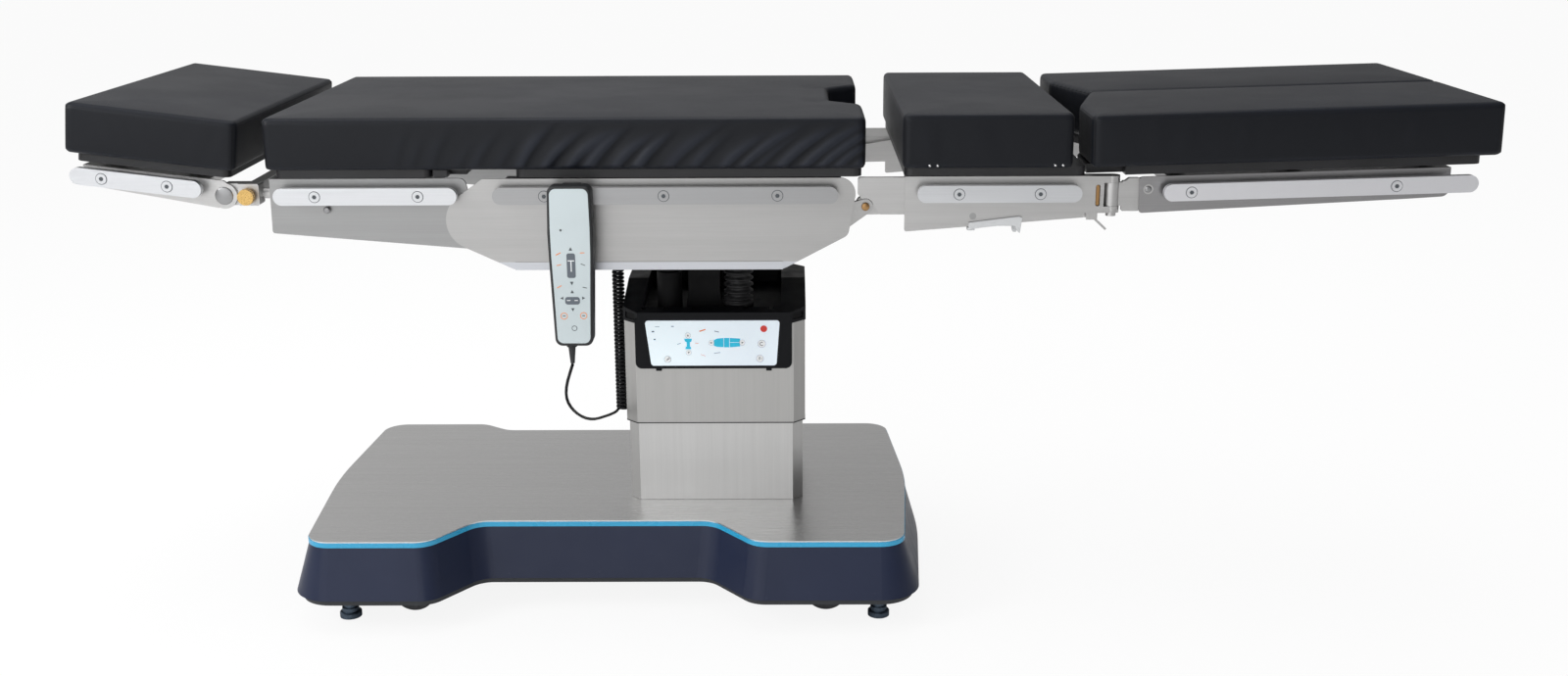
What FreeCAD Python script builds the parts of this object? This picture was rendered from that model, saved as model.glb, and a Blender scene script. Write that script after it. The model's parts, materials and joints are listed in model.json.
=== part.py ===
import FreeCAD, Part
import math
import os
from FreeCAD import Vector as V

# Operating table, in millimetres. +X points to the leg end, +Y away from the panel side, +Z up.
# The origin is on the floor, midway along the length and across the width.

# Sections across the table
CUSHION_HALF = 260.0
PLATE_OUT = 247.0
PLATE_THICK = 4.0
TOP_PLATE_INSET = 1.0
TOP_PLATE_HALF = PLATE_OUT - TOP_PLATE_INSET
PEG_R = 4.0
PEG_INSET = 8.0
PEG_HEIGHT = 4.0
RAIL_HEIGHT = 25.0
RAIL_THICK = 10.0
RAIL_STANDOFF = 12.0
RAIL_OUT = PLATE_OUT + RAIL_STANDOFF + RAIL_THICK
POST_R = 7.0
BOLT_R = 7.5
BOLT_PROUD = 0.8
SOCKET_AF = 6.0
SKIN_GAP = 0.5
LUG_THICK = 8.5
INNER_LUG_THICK = 11.5
LUG_OUT = PLATE_OUT - PLATE_THICK - SKIN_GAP
LUG_IN = LUG_OUT - LUG_THICK
INNER_OUT = LUG_IN - SKIN_GAP
INNER_IN = INNER_OUT - INNER_LUG_THICK
FLANGE = 24.0
FLANGE_THICK = 3.0
TUBE = 30.0
SPACER_R = 10.0

# Levels of the flat tabletop
FRAME_TOP = 702.4
PLATE_LOW = 704.0
PLATE_HIGH = 717.0
SEAT_GAP = 0.3
CUSHION_LOW = PLATE_HIGH + SEAT_GAP
CUSHION_THICK = 75.7
SEAT_CUSHION_THICK = 79.7
LEG_CUSHION_THICK = 76.7
HEAD_CUSHION_THICK = 73.0
CUSHION_TOP = CUSHION_LOW + CUSHION_THICK
SEAT_CUSHION_TOP = CUSHION_LOW + SEAT_CUSHION_THICK
RAIL_Z = 680.5
CUSHION_EDGE = 7.0
CUSHION_CORNER = 16.0

# Main section
BACK_AXIS_X = -450.0
BACK_AXIS_Z = 640.0
NOSE_R = 43.5
MAIN_TOP_LEFT = -437.0
MAIN_BOTTOM = 566.3
MAIN_BOTTOM_X = (-395.0, 0.0)
MAIN_CORNER = (96.0, 617.0)
MAIN_TOP_RIGHT = 111.0
LIP_HEIGHT = 12.0
MAIN_PLATE_X = (-389.0, 115.0)
MAIN_CUSHION_X = (-340.0, 120.0)
MAIN_RAIL_X = (-420.2, 80.5)
MAIN_BOLTS = (-344.9, -172.1, -7.5)
CUT_DEPTH = 48.0
CUT_MOUTH = 118.0
CUT_FLOOR = 76.0
PIN_R = 6.3
RUNNING = 0.05
EAR_R = 11.0

# Seat section hinge and seat section
SEAT_AXIS_X = 121.0
SEAT_AXIS_Z = 659.0
SEAT_PLATE_X = (178.0, 440.0)
SEAT_BRACKET_X = 110.0
SEAT_FRAME_TOP = 703.8
SEAT_LOW_LEFT = 622.2
SEAT_LOW_RIGHT = 642.6
SEAT_TOP_PLATE_X = (177.0, 440.6)
SEAT_CUSHION_X = (173.5, 420.0)
SEAT_RAIL_X = (195.0, 432.6)
SEAT_BOLTS = (255.2, 372.4)
SEAT_RAIL_Z = 681.5
SEAT_PEG_X = (200.0, 405.0)
SEAT_LEVER_X = 278.0
SEAT_LEVER_Z = 645.0
SEAT_LEVER_SHAFT_R = 5.0
SEAT_TUBES = (235.0, 320.0, 405.0)
MAIN_TUBES = (-370.0, 30.0, 70.0)
BACK_TUBES = (-640.0, -545.0)
HEAD_TUBES = (-175.0, -55.0)
LEG_TUBES = (48.0, 220.0, 415.0)
PAD_Y = 170.0

# Spread hinges between the seat section and the legs
SPREAD_X = 481.0
SPREAD_INSET = 11.0
SPREAD_Y = PLATE_OUT - SPREAD_INSET
BARREL_R = 11.5
SPREAD_PIN_R = 5.0
BLOCK_LOW = 649.0
BLOCK_TOP = 703.5
KNUCKLE_Z = (658.5, 693.6)
KNUCKLE_GAP = 0.3

# Leg sections, raised a little from level
LEG_AXIS_X = 532.0
LEG_AXIS_Z = 684.2
LEG_RISE = 1.6
LEG_SPLIT = 2.0
LEG_SIDE_X = (-12.7, 437.7)
LEG_SIDE_TOP = 18.5
LEG_SIDE_LOW = (-35.0, -24.0)
LEG_RAIL_X = (18.5, 470.2)
LEG_RAIL_Z = -2.5
LEG_BOLTS = (58.0, 352.7)
LEG_PLATE_X = (-86.0, 482.0)
LEG_PLATE_Z = (22.0, 35.7)
LEG_CUSHION_X = (-84.0, 506.0)
LEG_CUSHION_LOW = LEG_PLATE_Z[1] + SEAT_GAP
LEG_CUSHION_TOP = LEG_CUSHION_LOW + LEG_CUSHION_THICK
LEG_NOTCH_X = -44.0
LEG_NOTCH_Y = 143.0
LEG_PIN_R = 7.3

# Back section
BACK_LEFT = -749.0
BACK_LOW_LEFT = 621.9
BACK_END_R = 38.0
BACK_PLATE_X = (-740.0, -511.0)
BACK_CUSHION_X = (-749.5, -560.0)
BACK_RAIL_X = (-737.5, -471.5)
BACK_BOLTS = (-677.1, -527.6)
BACK_PIN_R = 9.0
BACK_SWEEP = 46.0

# Head section, raised from level
HEAD_AXIS_X = -815.0
HEAD_AXIS_Z = 678.6
HEAD_RISE = 7.0
HEAD_SIDE_X = (-205.0, 7.0)
HEAD_SIDE_TOP = 22.3
HEAD_DISC_R = 19.0
HEAD_RAIL_X = (-215.6, -26.5)
HEAD_RAIL_Z = 9.0
HEAD_BOLTS = (-169.6, -75.5)
HEAD_PLATE_X = (-216.0, 6.0)
HEAD_PLATE_Z = (27.0, 39.7)
HEAD_CUSHION_X = (-228.4, 17.0)
HEAD_CUSHION_LOW = HEAD_PLATE_Z[1] + SEAT_GAP
HEAD_CUSHION_TOP = HEAD_CUSHION_LOW + HEAD_CUSHION_THICK
PLUG_R = 8.0
PLUG_LENGTH = 62.0
KNOB_R = 12.0
KNOB_LENGTH = 14.0
KNOB_X = -780.0
KNOB_TRAVEL = 8.0

# Column
COLUMN_X = -110.0
COVER_HALF_X = 140.0
COVER_HALF_Y = 103.0
COVER_CHAMFER = 16.0
COVER_WALL = 1.2
UPPER_WALL = 1.6
COVER_GAP = 0.6
UPPER_LOW = 280.0
HEAD_PLATE_LOW = 452.0
HEAD_PLATE_THICK = 10.0
LIFT_DOWN = 60.0
LIFT_UP = 190.0
LIFT_CLEARANCE = 5.0
GUIDE_OUTER = 100.0
GUIDE_WALL = 8.0
GUIDE_GAP = 0.3
CAP_LOW = 447.0
CAP_FRONT = 465.0
CAP_TOP = 490.0
CAP_SEAM_Y = 13.0
CAP_HALF_X = 145.0
CAP_HALF_Y = 116.0
CAP_CHAMFER = 24.0
CAP_OPEN_X = (-222.0, -4.0)
CAP_OPEN_Y = (-96.0, 98.0)
BEZEL_X = (-235.0, 13.0)
BEZEL_LOW = 373.0
PANEL_TOP = 452.0
PANEL_LOW = 378.0
PANEL_TOP_X = (-219.0, -6.0)
PANEL_LOW_X = (-210.0, -11.5)
PANEL_THICK = 1.2

# Tilt head
TILT_X = -127.0
TILT_Z = 560.0
ROLL_Z = 605.0
CHEEK_HALF_X = 25.0
CHEEK_IN = 51.0
CHEEK_THICK = 14.0
CROSS_PIN_R = 14.0
ROLL_PIN_R = 13.0
HUB_R = 22.0
SADDLE_HALF_X = 75.0
SADDLE_LOW = 634.0
SADDLE_THICK = 13.0
TONGUE_Z = 650.0
TONGUE_HALF_Z = 5.0
TONGUE_WIDE = 42.0
TONGUE_IN = PLATE_OUT - TONGUE_WIDE
SHOE_INSET = 25.0
RAM_OFFSET = 55.0
RAM_Y = -60.0
RAM_R = 8.0
RAM_GAP = 5.0
BELLOWS_TOP = 545.0
BELLOWS_RINGS = 7
BELLOWS_R = (16.0, 24.0)

# Base
DECK_TOP = 145.5
DECK_THICK = 2.0
STRIP_HEIGHT = 7.5
SKIRT_LOW = 57.0
SKIRT_FLARE = 23.0
SKIRT_WALL = 3.5
DECK_WIDE = 277.0
WAIST_NEAR = 192.0
WAIST_FAR = 243.0
DECK_LEFT = -735.0
DECK_RIGHT = 184.0
END_BULGE = 20.0
PAN_LOW = 46.0
PAN_THICK = 3.0
PAN_INSET = 9.0
BEAM_TOP = 110.0
FOOT_X = (-687.0, 148.8)
FOOT_Y = 228.0
FOOT_R = 17.0
FOOT_STEM_R = 10.0
CASTER_X = (-570.0, 48.0)
CASTER_TURN = (-1, 1)
CASTER_Y = 207.0
WHEEL_R = 35.0
WHEEL_WIDTH = 24.0
WHEEL_LIFT = 1.0
TRAIL = 18.0
SWEEP_R = 58.0

# Handset and its cord
HANDSET_X = -305.5
HANDSET_TOP = 700.0
HANDSET_LOW = 463.5
HANDSET_FRONT = -298.5
HANDSET_BACK = -270.0
CORD_R = 2.35
COIL_R = 9.75
COIL_X = -271.0
COIL_Z = (264.0, 658.0)
CORD_ROUTE = [
    (-311.0, -285.0, 432.4),
    (-317.0, -284.5, 415.0),
    (-323.5, -278.0, 394.0),
    (-326.3, -261.0, 371.0),
    (-324.5, -235.0, 349.0),
    (-319.0, -200.0, 325.5),
    (-311.0, -160.0, 304.5),
    (-302.5, -118.0, 289.0),
    (-294.5, -76.0, 279.0),
    (-286.5, -40.0, 271.0),
    (-280.0, -12.0, 266.5),
]


def solid_of(wire, direction):
    """Extrude a closed flat wire along a vector."""
    return Part.Face(wire).extrude(direction)


def rounded_wire(points, place):
    """Closed wire through corners (a, b) or (a, b, radius); place maps (a, b) to a 3-D point."""
    corners = [(c[0], c[1], c[2] if len(c) > 2 else 0.0) for c in points]
    count = len(corners)
    ends = []
    for i, (a, b, radius) in enumerate(corners):
        here = V(a, b, 0)
        if radius == 0:
            ends.append((here, None, here))
            continue
        before = V(corners[i - 1][0], corners[i - 1][1], 0) - here
        after = V(corners[(i + 1) % count][0], corners[(i + 1) % count][1], 0) - here
        half = before.getAngle(after) / 2
        reach = radius / math.tan(half)
        before.normalize()
        after.normalize()
        middle = before + after
        middle.normalize()
        centre = here + middle * (radius / math.sin(half))
        ends.append((here + before * reach, centre - middle * radius, here + after * reach))
    edges = []
    for i, (start, mid, end) in enumerate(ends):
        if mid is not None:
            edges.append(Part.Arc(place(start), place(mid), place(end)).toShape())
        following = ends[(i + 1) % count][0]
        if end.distanceToPoint(following) > 1e-6:
            edges.append(Part.LineSegment(place(end), place(following)).toShape())
    return Part.Wire(edges)


def prism_y(points, y0, y1):
    """Outline in the XZ plane, extruded from y0 to y1."""
    wire = rounded_wire(points, lambda p: V(p.x, y0, p.y))
    return solid_of(wire, V(0, y1 - y0, 0))


def prism_z(points, z0, z1):
    """Outline in the XY plane, extruded from z0 to z1."""
    wire = rounded_wire(points, lambda p: V(p.x, p.y, z0))
    return solid_of(wire, V(0, 0, z1 - z0))


def prism_x(points, x0, x1):
    """Outline in the YZ plane, extruded from x0 to x1."""
    wire = rounded_wire(points, lambda p: V(x0, p.x, p.y))
    return solid_of(wire, V(x1 - x0, 0, 0))


def box(x0, x1, y0, y1, z0, z1):
    return Part.makeBox(x1 - x0, y1 - y0, z1 - z0, V(x0, y0, z0))


def cylinder_y(x, z, radius, y0, y1):
    return Part.makeCylinder(radius, y1 - y0, V(x, y0, z), V(0, 1, 0))


def cylinder_z(x, y, radius, z0, z1):
    return Part.makeCylinder(radius, z1 - z0, V(x, y, z0), V(0, 0, 1))


def cylinder_x(y, z, radius, x0, x1):
    return Part.makeCylinder(radius, x1 - x0, V(x0, y, z), V(1, 0, 0))


def fuse(first, *others):
    return first.fuse(list(others)).removeSplitter() if others else first


def far_side(shape):
    """The same piece on the other side of the table."""
    return shape.mirror(V(0, 0, 0), V(0, 1, 0))


def both_sides(shape):
    return [shape, far_side(shape)]


def save(name, shapes):
    """Write one sub-part; a list stays a group of separate solids."""
    shape = Part.makeCompound(shapes) if isinstance(shapes, list) else shapes
    solids = shape.Solids
    if not solids or not all(s.isValid() and s.isClosed() for s in solids):
        print("not a closed valid solid:", name)
    if not isinstance(shapes, list) and len(solids) != 1:
        print("not one solid:", name, len(solids))
    shape.exportStep(os.path.join("parts", name + ".step"))


def raised(shape, axis_x, axis_z, degrees):
    """Turn a section's piece about its hinge and put it in place; plus lifts its left end."""
    moved = shape.copy()
    moved.rotate(V(0, 0, 0), V(0, 1, 0), degrees)
    moved.translate(V(axis_x, 0, axis_z))
    return moved


def side_bar(x0, x1, z, bolts, inner):
    """Accessory rail on the near side: bar, posts back to the side plate, and socket screws."""
    half = RAIL_HEIGHT / 2
    ends = [(x0, z - half, half * 0.999), (x1, z - half, half * 0.999)]
    ends += [(x1, z + half, half * 0.999), (x0, z + half, half * 0.999)]
    bar = prism_y(ends, -RAIL_OUT, -RAIL_OUT + RAIL_THICK)
    posts = [cylinder_y(x, z, POST_R, -RAIL_OUT + RAIL_THICK, -inner) for x in bolts]
    sinks = [cylinder_y(x, z, BOLT_R + 0.4, -RAIL_OUT, -RAIL_OUT + 3.5) for x in bolts]
    bar = fuse(bar, *posts).cut(Part.makeCompound(sinks))
    return [bar] + [socket_screw(x, z) for x in bolts]


def socket_screw(x, z):
    """Head of a rail screw, with its hexagon socket, seated in the bar."""
    head = cylinder_y(x, z, BOLT_R, -RAIL_OUT - BOLT_PROUD, -RAIL_OUT + 3.5)
    corner = SOCKET_AF / math.sqrt(3)
    turns = [math.radians(60 * i) for i in range(6)]
    hexagon = [(x + corner * math.cos(t), z + corner * math.sin(t)) for t in turns]
    return head.cut(prism_y(hexagon, -RAIL_OUT - 1, -RAIL_OUT + 2))


def rail_pair(x0, x1, z, bolts, inner=PLATE_OUT):
    near = side_bar(x0, x1, z, bolts, inner)
    return near + [far_side(s) for s in near]


def top_plate(x0, x1, z0, z1, y0=-TOP_PLATE_HALF, y1=TOP_PLATE_HALF):
    """Black radiolucent plate with rounded corners."""
    corners = [(x0, y0, 12), (x1, y0, 12), (x1, y1, 12), (x0, y1, 12)]
    return prism_z(corners, z0, z1)


def pad(outline, z0, z1):
    """Cushion: an outline in plan with softened top edges."""
    body = prism_z(outline, z0, z1)
    top = [e for e in body.Edges if abs(e.BoundBox.ZMin - z1) < 0.01]
    return body.makeFillet(CUSHION_EDGE, top)


def pad_box(x0, x1, z0, z1, y0=-CUSHION_HALF, y1=CUSHION_HALF):
    r = CUSHION_CORNER
    return pad([(x0, y0, r), (x1, y0, r), (x1, y1, r), (x0, y1, r)], z0, z1)


def cross_tube(x, z0, z1, reach):
    """Box section across the frame between the side plates."""
    wall = 3.0
    outer = box(x - TUBE / 2, x + TUBE / 2, -reach, reach, z0, z1)
    inner = box(x - TUBE / 2 + wall, x + TUBE / 2 - wall, -reach - 1, reach + 1, z0 + wall, z1 - wall)
    return outer.cut(inner)


def top_flange(x0, x1, z, y_out):
    """The side plate's folded top edge."""
    return box(x0, x1, -y_out, -y_out + FLANGE, z - FLANGE_THICK, z)


def spacers(xs, ys, z0, z1):
    """Round rubber-faced pads on the cross tubes that carry the black plate."""
    return [cylinder_z(x, y, SPACER_R, z0 - 1, z1 - SEAT_GAP) for x in xs for y in ys]


def tangent_point(px, pz, cx, cz, radius, side):
    """Where the line from a point touches a circle; side is +1 or -1."""
    dx, dz = px - cx, pz - cz
    gap = math.hypot(dx, dz)
    turn = math.atan2(dz, dx) + side * math.acos(radius / gap)
    return cx + radius * math.cos(turn), cz + radius * math.sin(turn)


def main_side_outline():
    nose = tangent_point(MAIN_TOP_LEFT, FRAME_TOP, BACK_AXIS_X, BACK_AXIS_Z, NOSE_R, 1)
    left, right = MAIN_BOTTOM_X
    below = tangent_point(left, MAIN_BOTTOM, BACK_AXIS_X, BACK_AXIS_Z, NOSE_R, -1)
    return [
        (MAIN_TOP_LEFT, FRAME_TOP),
        nose,
        (BACK_AXIS_X, BACK_AXIS_Z),
        below,
        (left, MAIN_BOTTOM, 30),
        (right, MAIN_BOTTOM, 30),
        (*MAIN_CORNER, 14),
        (MAIN_TOP_RIGHT, FRAME_TOP, 24),
    ]


def seat_ear():
    """Arm from the main side plate to the seat hinge, with the hinge pin."""
    low = tangent_point(MAIN_CORNER[0] - 6, MAIN_CORNER[1] + 6, SEAT_AXIS_X, SEAT_AXIS_Z, EAR_R, 1)
    high = (SEAT_AXIS_X - 4, SEAT_AXIS_Z + EAR_R - 0.8)
    x0, z0, z1 = MAIN_CORNER[0] - 46, MAIN_CORNER[1] - 7, SEAT_AXIS_Z - 9
    shape = [(x0, z1), (x0, z0), (MAIN_CORNER[0] - 6, MAIN_CORNER[1] + 6), low, high]
    arm = prism_y(shape, -LUG_OUT, -LUG_IN)
    eye = cylinder_y(SEAT_AXIS_X, SEAT_AXIS_Z, EAR_R, -LUG_OUT, -LUG_IN)
    root = prism_y([(x0, z1), (x0, z0), (x0 + 38, z0 + 12), (x0 + 38, z1)], -PLATE_OUT + 1, -LUG_OUT + 1)
    pin = cylinder_y(SEAT_AXIS_X, SEAT_AXIS_Z, PIN_R, -LUG_OUT - 1, -INNER_IN + 3)
    return [arm, eye, root, pin]


def main_frame():
    plate = prism_y(main_side_outline(), -PLATE_OUT, -PLATE_OUT + PLATE_THICK)
    nose = cylinder_y(BACK_AXIS_X, BACK_AXIS_Z, NOSE_R, -PLATE_OUT, -PLATE_OUT + PLATE_THICK)
    flange = top_flange(BACK_AXIS_X + BACK_SWEEP, MAIN_TOP_RIGHT - 26, FRAME_TOP, PLATE_OUT)
    left, right = MAIN_BOTTOM_X
    lip = box(left, right, -PLATE_OUT - 1.5, -PLATE_OUT + FLANGE, MAIN_BOTTOM, MAIN_BOTTOM + LIP_HEIGHT)
    tongue = box(left, 60, -PLATE_OUT + 1, -TONGUE_IN, TONGUE_Z - TONGUE_HALF_Z, TONGUE_Z + TONGUE_HALF_Z)
    pin = cylinder_y(BACK_AXIS_X, BACK_AXIS_Z, BACK_PIN_R, -PLATE_OUT + 1, -LUG_OUT + LUG_THICK)
    washer = cylinder_y(BACK_AXIS_X, BACK_AXIS_Z, BACK_PIN_R + 4, -LUG_OUT + PLATE_THICK + SKIN_GAP,
                        -LUG_OUT + LUG_THICK)
    near = fuse(plate, nose, flange, lip, tongue, pin, washer, *seat_ear())
    tubes = [cross_tube(x, FRAME_TOP - TUBE, FRAME_TOP, PLATE_OUT - 1) for x in MAIN_TUBES]
    pads = spacers(MAIN_TUBES[:2], (-PAD_Y, PAD_Y), FRAME_TOP, PLATE_LOW)
    return fuse(near, far_side(near), *tubes, *pads, *gland())


def gland():
    """Bracket under the tabletop with the gland that the curly cord hangs from."""
    top = COIL_Z[1]
    body = Part.makeCone(COIL_R + 2, 6.0, 16, V(COIL_X, 0, top), V(0, 0, 1))
    stem = cylinder_z(COIL_X, 0, 6.0, top + 16, FRAME_TOP - 15)
    bar = box(COIL_X - 12, COIL_X + 12, -PLATE_OUT + 1, PLATE_OUT - 1, FRAME_TOP - 20, FRAME_TOP - 15)
    return [body, stem, bar]


def main_cushion():
    x0, x1 = MAIN_CUSHION_X
    r = CUSHION_CORNER
    outline = [(x0, -CUSHION_HALF, r), (x1, -CUSHION_HALF, r)]
    outline += [(x1, -CUT_MOUTH, 14), (x1 - CUT_DEPTH, -CUT_FLOOR, 26)]
    outline += [(x1 - CUT_DEPTH, CUT_FLOOR, 26), (x1, CUT_MOUTH, 14)]
    outline += [(x1, CUSHION_HALF, r), (x0, CUSHION_HALF, r)]
    return pad(outline, CUSHION_LOW, CUSHION_TOP)


def build_main():
    save("main_frame", main_frame())
    save("main_top_plate", top_plate(*MAIN_PLATE_X, PLATE_LOW, PLATE_HIGH))
    save("main_side_rails", rail_pair(*MAIN_RAIL_X, RAIL_Z, MAIN_BOLTS))
    save("main_cushion", main_cushion())
    fold = (BACK_CUSHION_X[1] + SEAT_GAP, MAIN_CUSHION_X[0] - SEAT_GAP)
    save("fold_cushion", box(*fold, -CUSHION_HALF, CUSHION_HALF, CUSHION_LOW, CUSHION_TOP))


def back_frame():
    out = LUG_OUT
    slope = (BACK_LOW_LEFT - (BACK_AXIS_Z - NOSE_R)) / (BACK_LEFT - BACK_AXIS_X)
    low_right = BACK_AXIS_Z - BACK_END_R
    end = BACK_AXIS_X - 14
    outline = [(BACK_LEFT, FRAME_TOP), (BACK_LEFT - 1.5, BACK_LOW_LEFT, 4)]
    outline += [(end, BACK_LOW_LEFT + slope * (end - BACK_LEFT)), (BACK_AXIS_X, low_right)]
    outline += [(BACK_AXIS_X, BACK_AXIS_Z), (end, FRAME_TOP, 10)]
    plate = prism_y(outline, -out, -out + PLATE_THICK)
    eye = cylinder_y(BACK_AXIS_X, BACK_AXIS_Z, BACK_END_R, -out, -out + PLATE_THICK)
    flange = top_flange(BACK_LEFT, BACK_PLATE_X[1] - 10, FRAME_TOP, out)
    near = fuse(plate, eye, flange)
    near = near.cut(cylinder_y(BACK_AXIS_X, BACK_AXIS_Z, BACK_PIN_R + RUNNING, -out - 1, -out + 6))
    reach = out - 1
    beams = [cross_tube(x, FRAME_TOP - TUBE, FRAME_TOP, reach) for x in BACK_TUBES]
    sockets = [plug_socket(), far_side(plug_socket())]
    end_beam = box(BACK_LEFT, BACK_LEFT + 5, -reach, reach, 650, FRAME_TOP)
    pads = spacers(BACK_TUBES, (-PAD_Y, PAD_Y), FRAME_TOP, PLATE_LOW)
    frame = fuse(near, far_side(near), end_beam, *beams, *sockets, *pads)
    bores = both_sides(cylinder_x(-plug_y(), plug_z(), PLUG_R + SEAT_GAP, BACK_LEFT - 5, BACK_LEFT + 70))
    return frame.cut(Part.makeCompound(bores))


def plug_y():
    """Distance of the head section's plug rods from the middle."""
    return LUG_IN - 10


def plug_z():
    return HEAD_AXIS_Z


def plug_socket():
    """Tube in the back frame that takes a plug rod."""
    return box(BACK_LEFT + 1, BACK_LEFT + 70, -LUG_OUT + 2, -plug_y() + 13, plug_z() - 14, plug_z() + 14)


def build_back():
    save("back_frame", back_frame())
    save("back_top_plate", top_plate(*BACK_PLATE_X, PLATE_LOW, PLATE_HIGH))
    save("back_side_rails", rail_pair(*BACK_RAIL_X, RAIL_Z, BACK_BOLTS, LUG_OUT))
    save("back_cushion", pad_box(*BACK_CUSHION_X, CUSHION_LOW, CUSHION_TOP))


def head_connector():
    """Plug-in hinge blocks that join the head section to the back section."""
    right = BACK_LEFT - 15
    z0, z1 = HEAD_AXIS_Z - 14.6, HEAD_AXIS_Z + 17.4
    ear = prism_y([(HEAD_AXIS_X, z0), (right, z0, 3), (right, z1, 3), (HEAD_AXIS_X, z1)], -LUG_OUT, -INNER_IN)
    eye = cylinder_y(HEAD_AXIS_X, HEAD_AXIS_Z, 15.5, -LUG_OUT, -INNER_IN)
    block = prism_y([(HEAD_AXIS_X + 21, z0), (right, z0, 3), (right, z1, 3), (HEAD_AXIS_X + 21, z1)],
                    -PLATE_OUT, -LUG_OUT + 1)
    rod = cylinder_x(-plug_y(), plug_z(), PLUG_R, right - 5, right + PLUG_LENGTH)
    near = fuse(ear, eye, block, rod)
    bore = cylinder_y(HEAD_AXIS_X, HEAD_AXIS_Z, PIN_R + RUNNING, -PLATE_OUT - 1, -INNER_IN + 1)
    knob_bore = cylinder_y(KNOB_X, HEAD_AXIS_Z, 4.3, -PLATE_OUT - 1, -PLATE_OUT + 18)
    near = near.cut(Part.makeCompound([bore, knob_bore]))
    bar = box(HEAD_AXIS_X + 16, HEAD_AXIS_X + 34, -INNER_IN - 1, INNER_IN + 1, HEAD_AXIS_Z - 10, HEAD_AXIS_Z + 8)
    return fuse(near, far_side(near), bar)


def release_knob():
    """Knurled pull knob, with the plunger that locks the plug rod."""
    face = -PLATE_OUT - 0.4
    flutes = 24
    points = []
    for i in range(2 * flutes):
        angle = math.pi * i / flutes
        radius = KNOB_R if i % 2 else KNOB_R - 0.8
        points.append((KNOB_X + radius * math.cos(angle), HEAD_AXIS_Z + radius * math.sin(angle)))
    grip = prism_y(points, face - KNOB_LENGTH, face - 4)
    collar = cylinder_y(KNOB_X, HEAD_AXIS_Z, KNOB_R - 3, face - 4, face)
    plunger = cylinder_y(KNOB_X, HEAD_AXIS_Z, 4.0, face, -PLATE_OUT + 14)
    return fuse(grip, collar, plunger)


def head_frame():
    x0, x1 = HEAD_SIDE_X
    outline = [(x0, HEAD_SIDE_TOP), (-188, -8, 6), (-6.7, -HEAD_DISC_R + 0.2), (0, 0), (x1, HEAD_SIDE_TOP, 8)]
    plate = prism_y(outline, -PLATE_OUT, -PLATE_OUT + PLATE_THICK)
    disc = cylinder_y(0, 0, HEAD_DISC_R, -PLATE_OUT, -PLATE_OUT + PLATE_THICK)
    pin = cylinder_y(0, 0, PIN_R, -PLATE_OUT, -INNER_IN + 4)
    flange = top_flange(x0, x1 - 30, HEAD_SIDE_TOP, PLATE_OUT)
    near = fuse(plate, disc, pin, flange)
    tubes = [cross_tube(x, HEAD_SIDE_TOP - 22, HEAD_SIDE_TOP, PLATE_OUT - 1) for x in HEAD_TUBES]
    pads = spacers(HEAD_TUBES, (-PAD_Y, PAD_Y), HEAD_SIDE_TOP, HEAD_PLATE_Z[0])
    return fuse(near, far_side(near), *tubes, *pads)


def build_head():
    def seat(shape):
        return raised(shape, HEAD_AXIS_X, HEAD_AXIS_Z, HEAD_RISE)

    save("head_connector", head_connector())
    save("release_knob_near", release_knob())
    save("release_knob_far", far_side(release_knob()))
    save("head_frame", seat(head_frame()))
    save("head_top_plate", seat(top_plate(*HEAD_PLATE_X, *HEAD_PLATE_Z)))
    save("head_side_rails", [seat(s) for s in rail_pair(*HEAD_RAIL_X, HEAD_RAIL_Z, HEAD_BOLTS)])
    cushion = pad_box(*HEAD_CUSHION_X, HEAD_CUSHION_LOW, HEAD_CUSHION_TOP)
    save("head_cushion", seat(cushion))


def seat_bracket():
    """Notched bracket and inner lug that ride on the main section's ear."""
    x0, z = SEAT_BRACKET_X, SEAT_AXIS_Z
    right = SEAT_PLATE_X[0] + 40
    face = [(x0, SEAT_FRAME_TOP - 2, 4), (x0, z + 18), (SEAT_AXIS_X, z + 6), (SEAT_AXIS_X + EAR_R + 3, z)]
    face += [(SEAT_AXIS_X + 22, z - 12), (right, z - 12), (right, SEAT_FRAME_TOP - 2)]
    plate = prism_y(face, -LUG_OUT, -LUG_IN)
    plate = plate.cut(cylinder_y(SEAT_AXIS_X, z, EAR_R + 0.8, -LUG_OUT - 1, -LUG_IN + 1))
    weld = box(SEAT_PLATE_X[0] + 2, right, -PLATE_OUT + 1, -LUG_OUT + 1, z - 12, SEAT_FRAME_TOP - 2)
    lug = prism_y([(SEAT_AXIS_X, z - 14), (right, z - 12), (right, z + 30), (SEAT_AXIS_X, z + 14)],
                  -INNER_OUT, -INNER_IN)
    eye = cylinder_y(SEAT_AXIS_X, z, 14, -INNER_OUT, -INNER_IN)
    bridge = box(SEAT_AXIS_X + 24, right, -LUG_IN - 1, -INNER_OUT + 1, z - 11, z + 28)
    bore = cylinder_y(SEAT_AXIS_X, z, PIN_R + RUNNING, -INNER_OUT - 1, -INNER_IN + 1)
    return fuse(plate, weld, lug, eye, bridge).cut(bore)


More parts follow.
